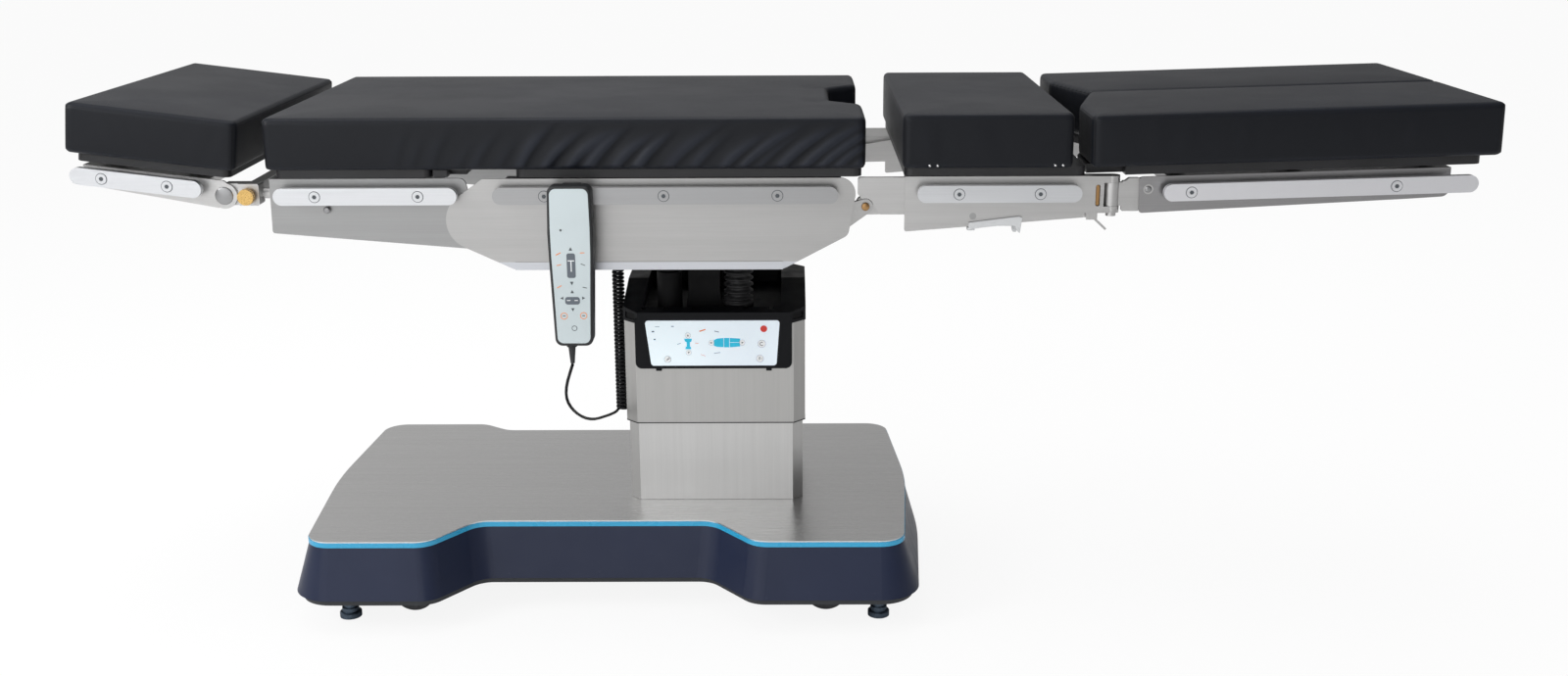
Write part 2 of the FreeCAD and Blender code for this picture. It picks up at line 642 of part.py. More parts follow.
def connector_block():
    """Block at the end of the seat section with the vertical barrel of the spread hinge."""
    x0 = SEAT_PLATE_X[1]
    block = box(x0, SPREAD_X, -PLATE_OUT, -SPREAD_Y + BARREL_R, BLOCK_LOW, BLOCK_TOP)
    barrel = cylinder_z(SPREAD_X, -SPREAD_Y, BARREL_R, BLOCK_LOW, BLOCK_TOP)
    slot = prism_y([(x0 + 16, 659, 3.2), (x0 + 22.5, 659, 3.2), (x0 + 22.5, 691, 3.2), (x0 + 16, 691, 3.2)],
                   -PLATE_OUT - 1, -PLATE_OUT + 6)
    low, high = KNUCKLE_Z
    notch = box(SPREAD_X - 13, SPREAD_X + 20, -PLATE_OUT - 2, -SPREAD_Y + BARREL_R + 2, low, high)
    pin = cylinder_z(SPREAD_X, -SPREAD_Y, SPREAD_PIN_R, BLOCK_LOW - 2, BLOCK_TOP - 2)
    nut = cylinder_z(SPREAD_X, -SPREAD_Y, 7.5, BLOCK_LOW - 5.5, BLOCK_LOW + 1)
    ears = [box(x0 + 4, x0 + 20, y, y + 3, BLOCK_LOW - 10, BLOCK_LOW + 1) for y in (-PLATE_OUT + 1, -PLATE_OUT + 18)]
    lever_pin = cylinder_y(x0 + 12, BLOCK_LOW - 5, 2.0, -PLATE_OUT + 2, -PLATE_OUT + 19)
    shape = fuse(block, barrel).cut(Part.makeCompound([notch, slot]))
    return fuse(shape, pin, nut, lever_pin, *ears)


def seat_frame():
    x0, x1 = SEAT_PLATE_X
    outline = [(x0, SEAT_FRAME_TOP), (x0, SEAT_LOW_LEFT, 3), (x1, SEAT_LOW_RIGHT), (x1, SEAT_FRAME_TOP)]
    plate = prism_y(outline, -PLATE_OUT, -PLATE_OUT + PLATE_THICK)
    flange = top_flange(x0, x1, SEAT_FRAME_TOP, PLATE_OUT)
    near = fuse(plate, flange, seat_bracket(), connector_block())
    joiner = box(x1 - 20, x1 + 2, -PLATE_OUT + 1, -SPREAD_Y + BARREL_R, BLOCK_LOW, SEAT_FRAME_TOP - 2)
    near = fuse(near, joiner)
    hinge = both_sides(cylinder_y(SEAT_LEVER_X, SEAT_LEVER_Z, SEAT_LEVER_SHAFT_R + RUNNING, -LUG_OUT - 5, -LUG_IN + 9))
    tubes = [cross_tube(x, SEAT_FRAME_TOP - TUBE, SEAT_FRAME_TOP, PLATE_OUT - 1) for x in SEAT_TUBES]
    pads = spacers(SEAT_TUBES[::2], (-PAD_Y, PAD_Y), SEAT_FRAME_TOP, PLATE_LOW + 1)
    frame = fuse(near, far_side(near), *tubes, *pads)
    return frame.cut(Part.makeCompound(hinge))


def release_lever():
    """White lever under the seat section: a blade each side on one cross shaft."""
    x, z = SEAT_LEVER_X, SEAT_LEVER_Z
    shape = [(x - 8, z + 5, 5), (x - 8, z - 8, 4), (x + 58, z - 16), (x + 60, z - 25, 1.5), (x + 65, z - 25, 1.5)]
    shape += [(x + 64, z - 5, 2), (x + 14, z + 5, 5)]
    blade = prism_y(shape, -LUG_OUT + 1, -LUG_IN + 2)
    shaft = cylinder_y(x, z, SEAT_LEVER_SHAFT_R, -PLATE_OUT + 0.5, PLATE_OUT - 0.5)
    return fuse(blade, far_side(blade), shaft)


def build_seat():
    save("seat_frame", seat_frame())
    plate = top_plate(*SEAT_TOP_PLATE_X, PLATE_LOW + 1, PLATE_HIGH)
    peg_y = TOP_PLATE_HALF - PEG_INSET
    places = [(x, y) for x in SEAT_PEG_X for y in (-peg_y, peg_y)]
    pegs = [cylinder_z(x, y, PEG_R, PLATE_LOW + 4, PLATE_HIGH + PEG_HEIGHT) for x, y in places]
    cushion = pad_box(*SEAT_CUSHION_X, CUSHION_LOW, SEAT_CUSHION_TOP)
    holes = [cylinder_z(x, y, PEG_R + 0.5, PLATE_HIGH, PLATE_HIGH + PEG_HEIGHT + 0.4) for x, y in places]
    save("seat_top_plate", fuse(plate, *pegs))
    save("seat_side_rails", rail_pair(*SEAT_RAIL_X, SEAT_RAIL_Z, SEAT_BOLTS))
    save("seat_cushion", cushion.cut(Part.makeCompound(holes)))
    save("seat_release_lever", release_lever())


def leg_bracket():
    """Bracket that swings on the spread hinge and carries the leg's pivot pin."""
    low, high = KNUCKLE_Z[0] + KNUCKLE_GAP, KNUCKLE_Z[1] - KNUCKLE_GAP
    knuckle = cylinder_z(SPREAD_X, -SPREAD_Y, BARREL_R - 0.3, low, high)
    neck = box(SPREAD_X, SPREAD_X + 16, -LUG_OUT, -LUG_IN, low, high)
    right = LEG_AXIS_X + 12
    shape = [(SPREAD_X + 14, 651, 2), (SPREAD_X + 38, 651), (right, 668), (right, LEG_AXIS_Z + 12, 6)]
    shape += [(SPREAD_X + 14, 695.5, 2)]
    plate = prism_y(shape, -LUG_OUT, -LUG_IN)
    stop = prism_y([(SPREAD_X + 16, 694), (SPREAD_X + 40, 694), (SPREAD_X + 40, 700, 3), (SPREAD_X + 24, 700, 3)],
                   -LUG_OUT, -LUG_IN)
    pin = cylinder_y(LEG_AXIS_X, LEG_AXIS_Z, LEG_PIN_R, -PLATE_OUT - 0.6, -INNER_IN + 2)
    body = fuse(knuckle, neck, plate, stop, pin)
    return body.cut(cylinder_z(SPREAD_X, -SPREAD_Y, SPREAD_PIN_R + RUNNING, low - 1, high + 1))


def leg_frame():
    """Near leg's frame, about its pivot, with its side plate, inner lug, cross tubes and inner beam."""
    x0, x1 = LEG_SIDE_X
    outline = [(x0, LEG_SIDE_TOP, 6), (x0, LEG_SIDE_LOW[0], 4), (x1 - 60, LEG_SIDE_LOW[1] - 2), (x1, LEG_SIDE_LOW[1], 12)]
    outline += [(x1, LEG_SIDE_TOP)]
    plate = prism_y(outline, -PLATE_OUT, -PLATE_OUT + PLATE_THICK)
    flange = top_flange(x0 + 40, x1, LEG_SIDE_TOP, PLATE_OUT)
    lug = prism_y([(-14, -14, 10), (60, -14), (60, 14), (-14, 14, 10)], -INNER_OUT, -INNER_IN)
    bridge = box(34, 60, -PLATE_OUT + 1, -INNER_OUT + 1, -14, 14)
    split = -LEG_SPLIT - 8
    tubes = []
    for x in LEG_TUBES:
        tube = box(x - 12, x + 12, -PLATE_OUT + 1, split, LEG_SIDE_TOP - 20, LEG_SIDE_TOP)
        tubes.append(tube)
    beam = box(LEG_TUBES[0] - 12, LEG_TUBES[-1] + 12, split - 16, split, LEG_SIDE_TOP - 20, LEG_SIDE_TOP)
    pads = spacers(LEG_TUBES[::2], (-190.0, -60.0), LEG_SIDE_TOP, LEG_PLATE_Z[0])
    body = fuse(plate, flange, lug, bridge, beam, *tubes, *pads)
    return body.cut(cylinder_y(0, 0, LEG_PIN_R + RUNNING, -PLATE_OUT - 1, -INNER_IN + 1))


def leg_cushion():
    x0, x1 = LEG_CUSHION_X
    r = CUSHION_CORNER
    outline = [(x0, -CUSHION_HALF, r), (x1, -CUSHION_HALF, r), (x1, -LEG_SPLIT, 6)]
    outline += [(LEG_NOTCH_X, -LEG_SPLIT, 4), (x0, -LEG_NOTCH_Y, 20)]
    return pad(outline, LEG_CUSHION_LOW, LEG_CUSHION_TOP)


def leg_plate():
    x0, x1 = LEG_PLATE_X
    corners = [(x0, -TOP_PLATE_HALF, 12), (x1, -TOP_PLATE_HALF, 12), (x1, -LEG_SPLIT - 4, 6)]
    corners += [(LEG_NOTCH_X + 6, -LEG_SPLIT - 4, 4), (x0, -LEG_NOTCH_Y, 10)]
    block_y = SPREAD_Y - BARREL_R - 3
    over_block = box(x0 - 1, SPREAD_X + BARREL_R + 6 - LEG_AXIS_X, -TOP_PLATE_HALF - 1, -block_y, 0, 50)
    return prism_z(corners, *LEG_PLATE_Z).cut(over_block)


def lock_lever():
    """Flat lever under the connector block that frees the leg bracket."""
    x, z = SEAT_PLATE_X[1] + 12, BLOCK_LOW - 5
    y0, y1 = -PLATE_OUT + 4.8, -PLATE_OUT + 17.2
    blade = box(x, x + 30, y0, y1, z - 1.6, z + 1.6)
    eye = cylinder_y(x, z, 4.2, y0, y1)
    body = fuse(blade, eye).cut(cylinder_y(x, z, 2.0 + RUNNING, y0 - 0.8, y1 + 0.8))
    body.rotate(V(x, 0, z), V(0, 1, 0), 43)
    return body


def build_legs():
    def seat(shape):
        return raised(shape, LEG_AXIS_X, LEG_AXIS_Z, -LEG_RISE)

    rail = side_bar(*LEG_RAIL_X, LEG_RAIL_Z, LEG_BOLTS, PLATE_OUT)
    pieces = {
        "leg_bracket": leg_bracket(),
        "leg_frame": [seat(s) for s in [leg_frame()] + rail],
        "leg_top_plate": seat(leg_plate()),
        "leg_cushion": seat(leg_cushion()),
        "lock_lever": lock_lever(),
    }
    for name, piece in pieces.items():
        mirrored = [far_side(s) for s in piece] if isinstance(piece, list) else far_side(piece)
        save(name + "_near", piece)
        save(name + "_far", mirrored)


def octagon(half_x, half_y, chamfer):
    """Corner points of a rectangle with cut corners, about the column's middle."""
    x, y, c = half_x, half_y, chamfer
    points = [(-x + c, -y), (x - c, -y), (x, -y + c), (x, y - c), (x - c, y), (-x + c, y), (-x, y - c), (-x, -y + c)]
    return [(COLUMN_X + a, b) for a, b in points]


def cover_at(offset):
    """The column cover's outline, moved outwards by an offset."""
    chamfer = COVER_CHAMFER + offset * (2 - math.sqrt(2))
    return octagon(COVER_HALF_X + offset, COVER_HALF_Y + offset, chamfer)


def shell(offset, wall, z0, z1):
    return prism_z(cover_at(offset), z0, z1).cut(prism_z(cover_at(offset - wall), z0 - 1, z1 + 1))


def square_tube(outer, wall, z0, z1):
    half = outer / 2
    solid = box(COLUMN_X - half, COLUMN_X + half, -half, half, z0, z1)
    half -= wall
    return solid.cut(box(COLUMN_X - half, COLUMN_X + half, -half, half, z0 - 1, z1 + 1))


def build_column():
    lower_top = HEAD_PLATE_LOW - LIFT_DOWN - LIFT_CLEARANCE
    middle_top = HEAD_PLATE_LOW - LIFT_DOWN / 2 - LIFT_CLEARANCE
    middle_offset = COVER_GAP + COVER_WALL
    upper_offset = middle_offset + COVER_GAP + UPPER_WALL
    save("lower_column_cover", shell(0, COVER_WALL, DECK_TOP + SEAT_GAP, lower_top))
    save("middle_column_cover", shell(middle_offset, COVER_WALL, UPPER_LOW + 1, middle_top))
    save("upper_column_cover", shell(upper_offset, UPPER_WALL, UPPER_LOW, HEAD_PLATE_LOW - SEAT_GAP))
    middle_size = GUIDE_OUTER - 2 * GUIDE_WALL - 2 * GUIDE_GAP
    inner_size = middle_size - 2 * GUIDE_WALL - 2 * GUIDE_GAP
    save("outer_guide_tube", square_tube(GUIDE_OUTER, GUIDE_WALL, BEAM_TOP, lower_top - 10))
    save("middle_guide_tube", square_tube(middle_size, GUIDE_WALL, BEAM_TOP + 32, middle_top - 10))
    save("column_head", column_head(inner_size))
    save("column_cap", column_cap(upper_offset))
    save("control_panel", control_panel())


def column_head(post_size):
    """Inner post, head plate and the two cheeks that hold the cross pin."""
    top = HEAD_PLATE_LOW + HEAD_PLATE_THICK
    post = square_tube(post_size, GUIDE_WALL, BEAM_TOP + LIFT_DOWN + 5, HEAD_PLATE_LOW)
    plate = prism_z(octagon(CAP_HALF_X - 5, CAP_HALF_Y - 5, COVER_CHAMFER), HEAD_PLATE_LOW, top)
    half = CHEEK_HALF_X
    foot = half + 4
    side = [(TILT_X - foot, top - 1), (TILT_X + foot, top - 1), (TILT_X + half, top + 26, 8), (TILT_X + half, TILT_Z)]
    side += [(TILT_X - half, TILT_Z), (TILT_X - half, top + 26, 8)]
    cheek = prism_y(side, -CHEEK_IN - CHEEK_THICK, -CHEEK_IN)
    crown = cylinder_y(TILT_X, TILT_Z, half, -CHEEK_IN - CHEEK_THICK, -CHEEK_IN)
    ram = cylinder_z(TILT_X + RAM_OFFSET, RAM_Y, RAM_R + 3, top - 1, top + 14)
    ram_bore = cylinder_z(TILT_X + RAM_OFFSET, RAM_Y, RAM_R + RUNNING, HEAD_PLATE_LOW - 1, top + 15)
    base = cylinder_z(TILT_X + RAM_OFFSET, RAM_Y, 24, top - 1, top + 3)
    brace = cylinder_z(TILT_X - RAM_OFFSET, RAM_Y, 20, top - 1, top + 58)
    brace_cap = cylinder_z(TILT_X - RAM_OFFSET, RAM_Y, 15, top + 57, top + 70)
    head = fuse(post, plate, cheek, far_side(cheek), crown, far_side(crown), ram, base, brace, brace_cap)
    bore = cylinder_y(TILT_X, TILT_Z, CROSS_PIN_R + RUNNING, -CHEEK_IN - 20, CHEEK_IN + 20)
    return head.cut(Part.makeCompound([bore, ram_bore]))


def column_cap(cover_offset):
    """Black cap: a band over the cover, a rim that rises to the back, and the panel's bezel."""
    outline = octagon(CAP_HALF_X, CAP_HALF_Y, CAP_CHAMFER)
    body = prism_z(outline, CAP_LOW, CAP_TOP)
    y0 = -CAP_HALF_Y - 5
    wedge = prism_x([(y0, CAP_FRONT - 1), (CAP_SEAM_Y, CAP_TOP), (CAP_SEAM_Y, CAP_TOP + 5), (y0, CAP_TOP + 5)],
                    COLUMN_X - CAP_HALF_X - 5, COLUMN_X + CAP_HALF_X + 5)
    x0, x1 = CAP_OPEN_X
    y1, y2 = CAP_OPEN_Y
    well = prism_z([(x0, y1, 10), (x1, y1, 10), (x1, y2, 10), (x0, y2, 10)], CAP_LOW - 1, CAP_TOP + 1)
    top = HEAD_PLATE_LOW + HEAD_PLATE_THICK
    seat = prism_z(octagon(CAP_HALF_X - 4, CAP_HALF_Y - 4, COVER_CHAMFER), HEAD_PLATE_LOW - SEAT_GAP, top + SEAT_GAP)
    socket = prism_z(cover_at(cover_offset + 0.3), CAP_LOW - 1, HEAD_PLATE_LOW + 1)
    b0, b1 = BEZEL_X
    bezel = prism_y([(b0, BEZEL_LOW, 10), (b1, BEZEL_LOW, 10), (b1, CAP_LOW + 8), (b0, CAP_LOW + 8)],
                    -CAP_HALF_Y, -COVER_HALF_Y - cover_offset - 0.3)
    tabs = [box(x, x + 9, -CAP_HALF_Y + 1, -COVER_HALF_Y - cover_offset - 0.3, BEZEL_LOW - 4, BEZEL_LOW + 2)
            for x in (b0 + 32, b1 - 41)]
    body = body.cut(Part.makeCompound([wedge, well]))
    body = fuse(body, bezel, *tabs).cut(Part.makeCompound([seat, socket]))
    recess = panel_prism(-CAP_HALF_Y - 1, -CAP_HALF_Y + PANEL_THICK, 0.4)
    dimples = [cylinder_z(x, -100, 5, CAP_FRONT - 2, CAP_TOP) for x in (-221, -186, -140, -60, -20)]
    return body.cut(Part.makeCompound([recess] + dimples))


def panel_prism(y0, y1, grow):
    a0, a1 = PANEL_TOP_X
    c0, c1 = PANEL_LOW_X
    points = [(a0 - grow, PANEL_TOP + grow, 5), (c0 - grow, PANEL_LOW - grow, 5)]
    points += [(c1 + grow, PANEL_LOW - grow, 5), (a1 + grow, PANEL_TOP + grow, 5)]
    return prism_y(points, y0, y1)


def control_panel():
    return panel_prism(-CAP_HALF_Y - 0.2, -CAP_HALF_Y + PANEL_THICK, 0)


def tilt_yoke():
    """Cross of the tilt head: a pin across the table and a pin along it, and the ram's arm."""
    cross = cylinder_y(TILT_X, TILT_Z, 24, -CHEEK_IN + 1, CHEEK_IN - 1)
    pin = cylinder_y(TILT_X, TILT_Z, CROSS_PIN_R, -CHEEK_IN - CHEEK_THICK - 3, CHEEK_IN + CHEEK_THICK + 3)
    neck = box(TILT_X - 22, TILT_X + 22, -20, 20, TILT_Z, ROLL_Z)
    hub = cylinder_x(0, ROLL_Z, HUB_R, TILT_X - 48, TILT_X + 48)
    roll_pin = cylinder_x(0, ROLL_Z, ROLL_PIN_R, TILT_X - 74, TILT_X + 74)
    low = arm_underside()
    arm = prism_z([(TILT_X + 26, -40), (TILT_X + 26, -20), (TILT_X + 70, RAM_Y + 24, 10), (TILT_X + 70, RAM_Y - 14, 10),
                   (TILT_X + 38, RAM_Y - 14, 10)], low, low + 14)
    root = box(TILT_X, TILT_X + 40, -36, -8, low, low + 14)
    return fuse(cross, pin, neck, hub, roll_pin, arm, root)


def arm_underside():
    return TILT_Z + 6


def build_tilt_head():
    save("tilt_yoke", tilt_yoke())
    save("saddle", saddle())
    x = TILT_X + RAM_OFFSET
    dome_z = arm_underside() - RAM_GAP
    low = HEAD_PLATE_LOW - 40
    rod = cylinder_z(x, RAM_Y, RAM_R, low, dome_z - RAM_R)
    dome = Part.makeSphere(RAM_R, V(x, RAM_Y, dome_z - RAM_R))
    collar = cylinder_z(x, RAM_Y, BELLOWS_R[0] - 3, BELLOWS_TOP + SEAT_GAP, BELLOWS_TOP + 4)
    save("trend_ram_rod", fuse(rod, dome, collar))
    save("ram_bellows", ram_bellows(x))


def ram_bellows(x):
    """Rubber boot with rounded folds over the ram's rod."""
    low = HEAD_PLATE_LOW + HEAD_PLATE_THICK + 3 + SEAT_GAP
    inner = RAM_R + 4
    r_in, r_out = BELLOWS_R
    cuff = 6.0
    pitch = (BELLOWS_TOP - low - cuff) / BELLOWS_RINGS
    points = [V(inner, 0, low), V(r_out, 0, low), V(r_out, 0, low + cuff), V(r_in, 0, low + cuff)]
    edges = [Part.LineSegment(a, b).toShape() for a, b in zip(points, points[1:])]
    here = points[-1]
    for i in range(BELLOWS_RINGS):
        z = low + cuff + pitch * (i + 1)
        peak = V(r_out, 0, z - pitch / 2)
        end = V(r_in, 0, z)
        edges.append(Part.LineSegment(here, peak).toShape())
        edges.append(Part.LineSegment(peak, end).toShape())
        here = end
    edges.append(Part.LineSegment(here, V(inner, 0, BELLOWS_TOP)).toShape())
    edges.append(Part.LineSegment(V(inner, 0, BELLOWS_TOP), points[0]).toShape())
    boot = Part.Face(Part.Wire(edges)).revolve(V(0, 0, 0), V(0, 0, 1), 360)
    boot.translate(V(x, RAM_Y, 0))
    return boot


def saddle():
    """Plate on the roll pin, with a grooved shoe each side for the tabletop's slide tongues."""
    x0, x1 = TILT_X - SADDLE_HALF_X, TILT_X + SADDLE_HALF_X
    top = SADDLE_LOW + SADDLE_THICK
    reach = TONGUE_IN - 10
    plate = box(x0, x1, -reach, reach, SADDLE_LOW, top)
    shoe = box(x0, x1, -LUG_IN + 1, -TONGUE_IN + SHOE_INSET, TONGUE_Z - TONGUE_HALF_Z - 11, TONGUE_Z + TONGUE_HALF_Z + 11)
    lugs = []
    for x in (TILT_X - 70, TILT_X + 52):
        lug = prism_x([(-34, SADDLE_LOW + 2), (-HUB_R, ROLL_Z), (HUB_R, ROLL_Z), (34, SADDLE_LOW + 2)], x, x + 18)
        lugs += [lug, cylinder_x(0, ROLL_Z, HUB_R, x, x + 18)]
    body = fuse(plate, shoe, far_side(shoe), *lugs)
    low, high = TONGUE_Z - TONGUE_HALF_Z - 0.3, TONGUE_Z + TONGUE_HALF_Z + 0.3
    groove = box(x0 - 1, x1 + 1, -PLATE_OUT + 7, -TONGUE_IN + 0.4, low, high)
    bore = cylinder_x(0, ROLL_Z, ROLL_PIN_R + RUNNING, x0, x1)
    return body.cut(Part.makeCompound([groove, far_side(groove), bore]))


def deck_points(grow=0.0):
    """Plan of the base: wide feet at both ends, a deep waist on the near side, a shallow one behind."""
    g = grow
    wide, near, far = DECK_WIDE + g, WAIST_NEAR + g, WAIST_FAR + g
    slant = 0.35 * g
    left, right = DECK_LEFT - g, DECK_RIGHT + g
    bulge = END_BULGE
    return [
        (left - bulge, 0, 900),
        (left, -wide, 38 + g),
        (-548 + slant, -wide, 40),
        (-486 + slant, -near, 40),
        (-112 - slant, -near, 40),
        (-43 - slant, -wide, 40),
        (right, -wide, 38 + g),
        (right + bulge, 0, 900),
        (right, wide, 38 + g),
        (-20 - slant, wide, 40),
        (-66 - slant, far, 40),
        (-510 + slant, far, 40),
        (-556 + slant, wide, 40),
        (left, wide, 38 + g),
    ]


def deck_prism(grow, z0, z1):
    return prism_z(deck_points(grow), z0, z1)


def deck_loft(grow_low, grow_high, z0, z1):
    low = rounded_wire(deck_points(grow_low), lambda p: V(p.x, p.y, z0))
    high = rounded_wire(deck_points(grow_high), lambda p: V(p.x, p.y, z1))
    return Part.makeLoft([low, high], True, True)


def skirt():
    top = DECK_TOP - DECK_THICK - STRIP_HEIGHT
    slope = SKIRT_FLARE / (top - SKIRT_LOW)
    outer = deck_loft(SKIRT_FLARE, 0, SKIRT_LOW, top)
    inner_top = top - SKIRT_WALL
    inner = deck_loft(SKIRT_FLARE - SKIRT_WALL + slope, slope * SKIRT_WALL - SKIRT_WALL, SKIRT_LOW - 1, inner_top)
    opening = deck_prism(-22, inner_top - 1, top + 1)
    return outer.cut(inner).cut(opening)


def caster_places():
    for end, x, turn in zip(("head", "leg"), CASTER_X, CASTER_TURN):
        for side, y in (("near", -CASTER_Y), ("far", CASTER_Y)):
            yield end + "_" + side, x, y, turn


def foot_places():
    return [(x, side * FOOT_Y) for x in FOOT_X for side in (-1, 1)]


def base_chassis():
    """Bottom pan, two long beams, cross beams, column pad, caster plates and foot cylinders."""
    grow = SKIRT_FLARE - PAN_INSET
    pan = deck_prism(grow, PAN_LOW, PAN_LOW + PAN_THICK)
    rim = deck_prism(grow, PAN_LOW, SKIRT_LOW + 6).cut(deck_prism(grow - 3, PAN_LOW - 1, SKIRT_LOW + 7))
    beams = []
    for side in (-1, 1):
        y0, y1 = sorted((side * 95, side * 135))
        outer = box(-700, 160, y0, y1, PAN_LOW + 1, BEAM_TOP)
        beams.append(outer.cut(box(-701, 161, y0 + 4, y1 - 4, PAN_LOW + 5, BEAM_TOP - 4)))
    crosses = [box(x - 30, x + 30, -96, 96, 60, BEAM_TOP) for x in (-640.0, 110.0)]
    pad_plate = box(COLUMN_X - 130, COLUMN_X + 130, -134, 134, BEAM_TOP - 10, BEAM_TOP)
    arms = [box(x - 34, x + 34, -CASTER_Y - 34, CASTER_Y + 34, BEAM_TOP - 8, BEAM_TOP) for x in CASTER_X]
    arms += [box(x - 24, x + 24, -FOOT_Y - 24, FOOT_Y + 24, BEAM_TOP - 8, BEAM_TOP) for x in FOOT_X]
    cylinders = [cylinder_z(x, y, FOOT_STEM_R + 6, PAN_LOW + 1, BEAM_TOP + 12) for x, y in foot_places()]
    body = fuse(pan, rim, pad_plate, *beams, *crosses, *arms, *cylinders)
    holes = [cylinder_z(x, y, FOOT_STEM_R + RUNNING, PAN_LOW - 1, BEAM_TOP + 4) for x, y in foot_places()]
    for name, x, y, turn in caster_places():
        holes.append(cylinder_z(x, y, SWEEP_R, PAN_LOW - 1, PAN_LOW + PAN_THICK + 0.5))
        holes.append(cylinder_z(x, y, 6 + RUNNING, BEAM_TOP - 9, BEAM_TOP + 1))
    return body.cut(Part.makeCompound(holes))


def floor_lock_foot(x, y):
    pad_disc = cylinder_z(x, y, FOOT_R, 0, 9)
    rim = pad_disc.makeChamfer(1.5, [e for e in pad_disc.Edges if abs(e.BoundBox.ZMin - 9) < 0.01])
    collar = cylinder_z(x, y, FOOT_R - 4, 9, 16)
    stem = cylinder_z(x, y, FOOT_STEM_R, 9, BEAM_TOP - 10)
    return fuse(rim, collar, stem)


def caster_fork(x, y, turn):
    """Swivel fork: stem in the caster plate, crown, and two legs to the trailing axle."""
    axle_x, axle_z = x - TRAIL, WHEEL_R + WHEEL_LIFT
    stem = cylinder_z(x, y, 6.0, BEAM_TOP - 14, BEAM_TOP + 4)
    crown_low = axle_z + WHEEL_R + 3
    crown = prism_z([(axle_x - 12, y - 17, 8), (x + 16, y - 17, 8), (x + 16, y + 17, 8), (axle_x - 12, y + 17, 8)],
                    crown_low, BEAM_TOP - 8.3)
    legs = []
    for y0 in (y - 17, y + 13.5):
        leg = prism_y([(axle_x - 9, axle_z), (axle_x + 9, axle_z), (x + 12, crown_low + 3), (axle_x - 12, crown_low + 3)],
                      y0, y0 + 3.5)
        legs += [leg, cylinder_y(axle_x, axle_z, 9, y0, y0 + 3.5)]
    axle = cylinder_y(axle_x, axle_z, 5.0, y - 18, y + 18)
    fork = fuse(stem, crown, axle, *legs)
    return fork if turn < 0 else fork.mirror(V(x, y, 0), V(1, 0, 0))


def caster_wheel(x, y, turn):
    """Rubber wheel with a crowned tread and a bored hub."""
    half = WHEEL_WIDTH / 2
    r = WHEEL_R
    profile = [V(5.05, -half, 0), V(12, -half, 0), V(r - 10, -half + 3, 0), V(r - 4, -half + 1, 0)]
    profile += [V(r - 1.2, -half + 4, 0), V(r, 0, 0), V(r - 1.2, half - 4, 0)]
    profile += [V(r - 4, half - 1, 0), V(r - 10, half - 3, 0), V(12, half, 0), V(5.05, half, 0)]
    loop = profile + [profile[0]]
    wheel = Part.Face(Part.makePolygon(loop)).revolve(V(0, 0, 0), V(0, 1, 0), 360)
    wheel.translate(V(x + turn * TRAIL, y, WHEEL_R + WHEEL_LIFT))
    return wheel


def power_pack():
    """Hydraulic unit and battery in the base."""
    tank = prism_z([(-530, -80, 10), (-430, -80, 10), (-430, 80, 10), (-530, 80, 10)], PAN_LOW + PAN_THICK + 0.3, 122)
    motor = cylinder_x(-36, 88, 30, -431, -300)
    pump = box(-431, -380, 5, 70, 60, 115)
    battery = box(-370, -280, 10, 90, PAN_LOW + PAN_THICK + 0.3, 120)
    foot = box(-420, -310, -56, -16, PAN_LOW + PAN_THICK + 0.3, 62)
    return [fuse(tank, motor, pump, foot), battery]


def build_base():
    save("base_chassis", base_chassis())
    save("base_skirt", skirt())
    top = DECK_TOP - DECK_THICK
    strip = deck_prism(1.0, top - STRIP_HEIGHT, top)
    save("accent_strip", strip.cut(deck_prism(-12, top - STRIP_HEIGHT - 1, top + 1)))
    deck = deck_prism(0.0, top, DECK_TOP)
    post = GUIDE_OUTER / 2 + 2
    opening = box(COLUMN_X - post, COLUMN_X + post, -post, post, top - 1, DECK_TOP + 1)
    save("deck_plate", deck.cut(opening))
    save("power_pack", power_pack())
    save("floor_lock_feet", [floor_lock_foot(x, y) for x, y in foot_places()])
    for name, x, y, turn in caster_places():
        save("caster_fork_" + name, caster_fork(x, y, turn))
        save("caster_wheel_" + name, caster_wheel(x, y, turn))


def handset():
    """Pendant with its hook over the main side rail and the strain relief of its cord."""
    x = HANDSET_X
    front = [(x - 31, HANDSET_TOP, 9), (x - 33, 630, 60), (x - 32, 590, 60), (x - 27.5, HANDSET_LOW, 11)]
    front += [(x + 27.5, HANDSET_LOW, 11), (x + 32, 590, 60), (x + 33, 630, 60), (x + 31, HANDSET_TOP, 9)]
    body = prism_y(front, HANDSET_FRONT, HANDSET_BACK)
    rims = [e for e in body.Edges if e.BoundBox.YMax - e.BoundBox.YMin < 0.01]
    body = body.makeFillet(3.0, rims)
    rail_top = RAIL_Z + RAIL_HEIGHT / 2
    arm = box(x - 13, x + 13, HANDSET_BACK - 4, -PLATE_OUT - 7, rail_top + 0.3, rail_top + 5)
    tongue = box(x - 13, x + 13, -PLATE_OUT - 9.4, -PLATE_OUT - 7, rail_top - 3.5, rail_top + 5)
    sx, sy = CORD_ROUTE[0][0], CORD_ROUTE[0][1]
    relief = Part.makeCone(5.5, 3.2, 26, V(sx, sy, HANDSET_LOW - 3.6), V(0, 0, -1))
    ring = cylinder_z(sx, sy, 7.5, HANDSET_LOW - 4, HANDSET_LOW + 2)
    return fuse(body, arm, tongue, ring, relief)


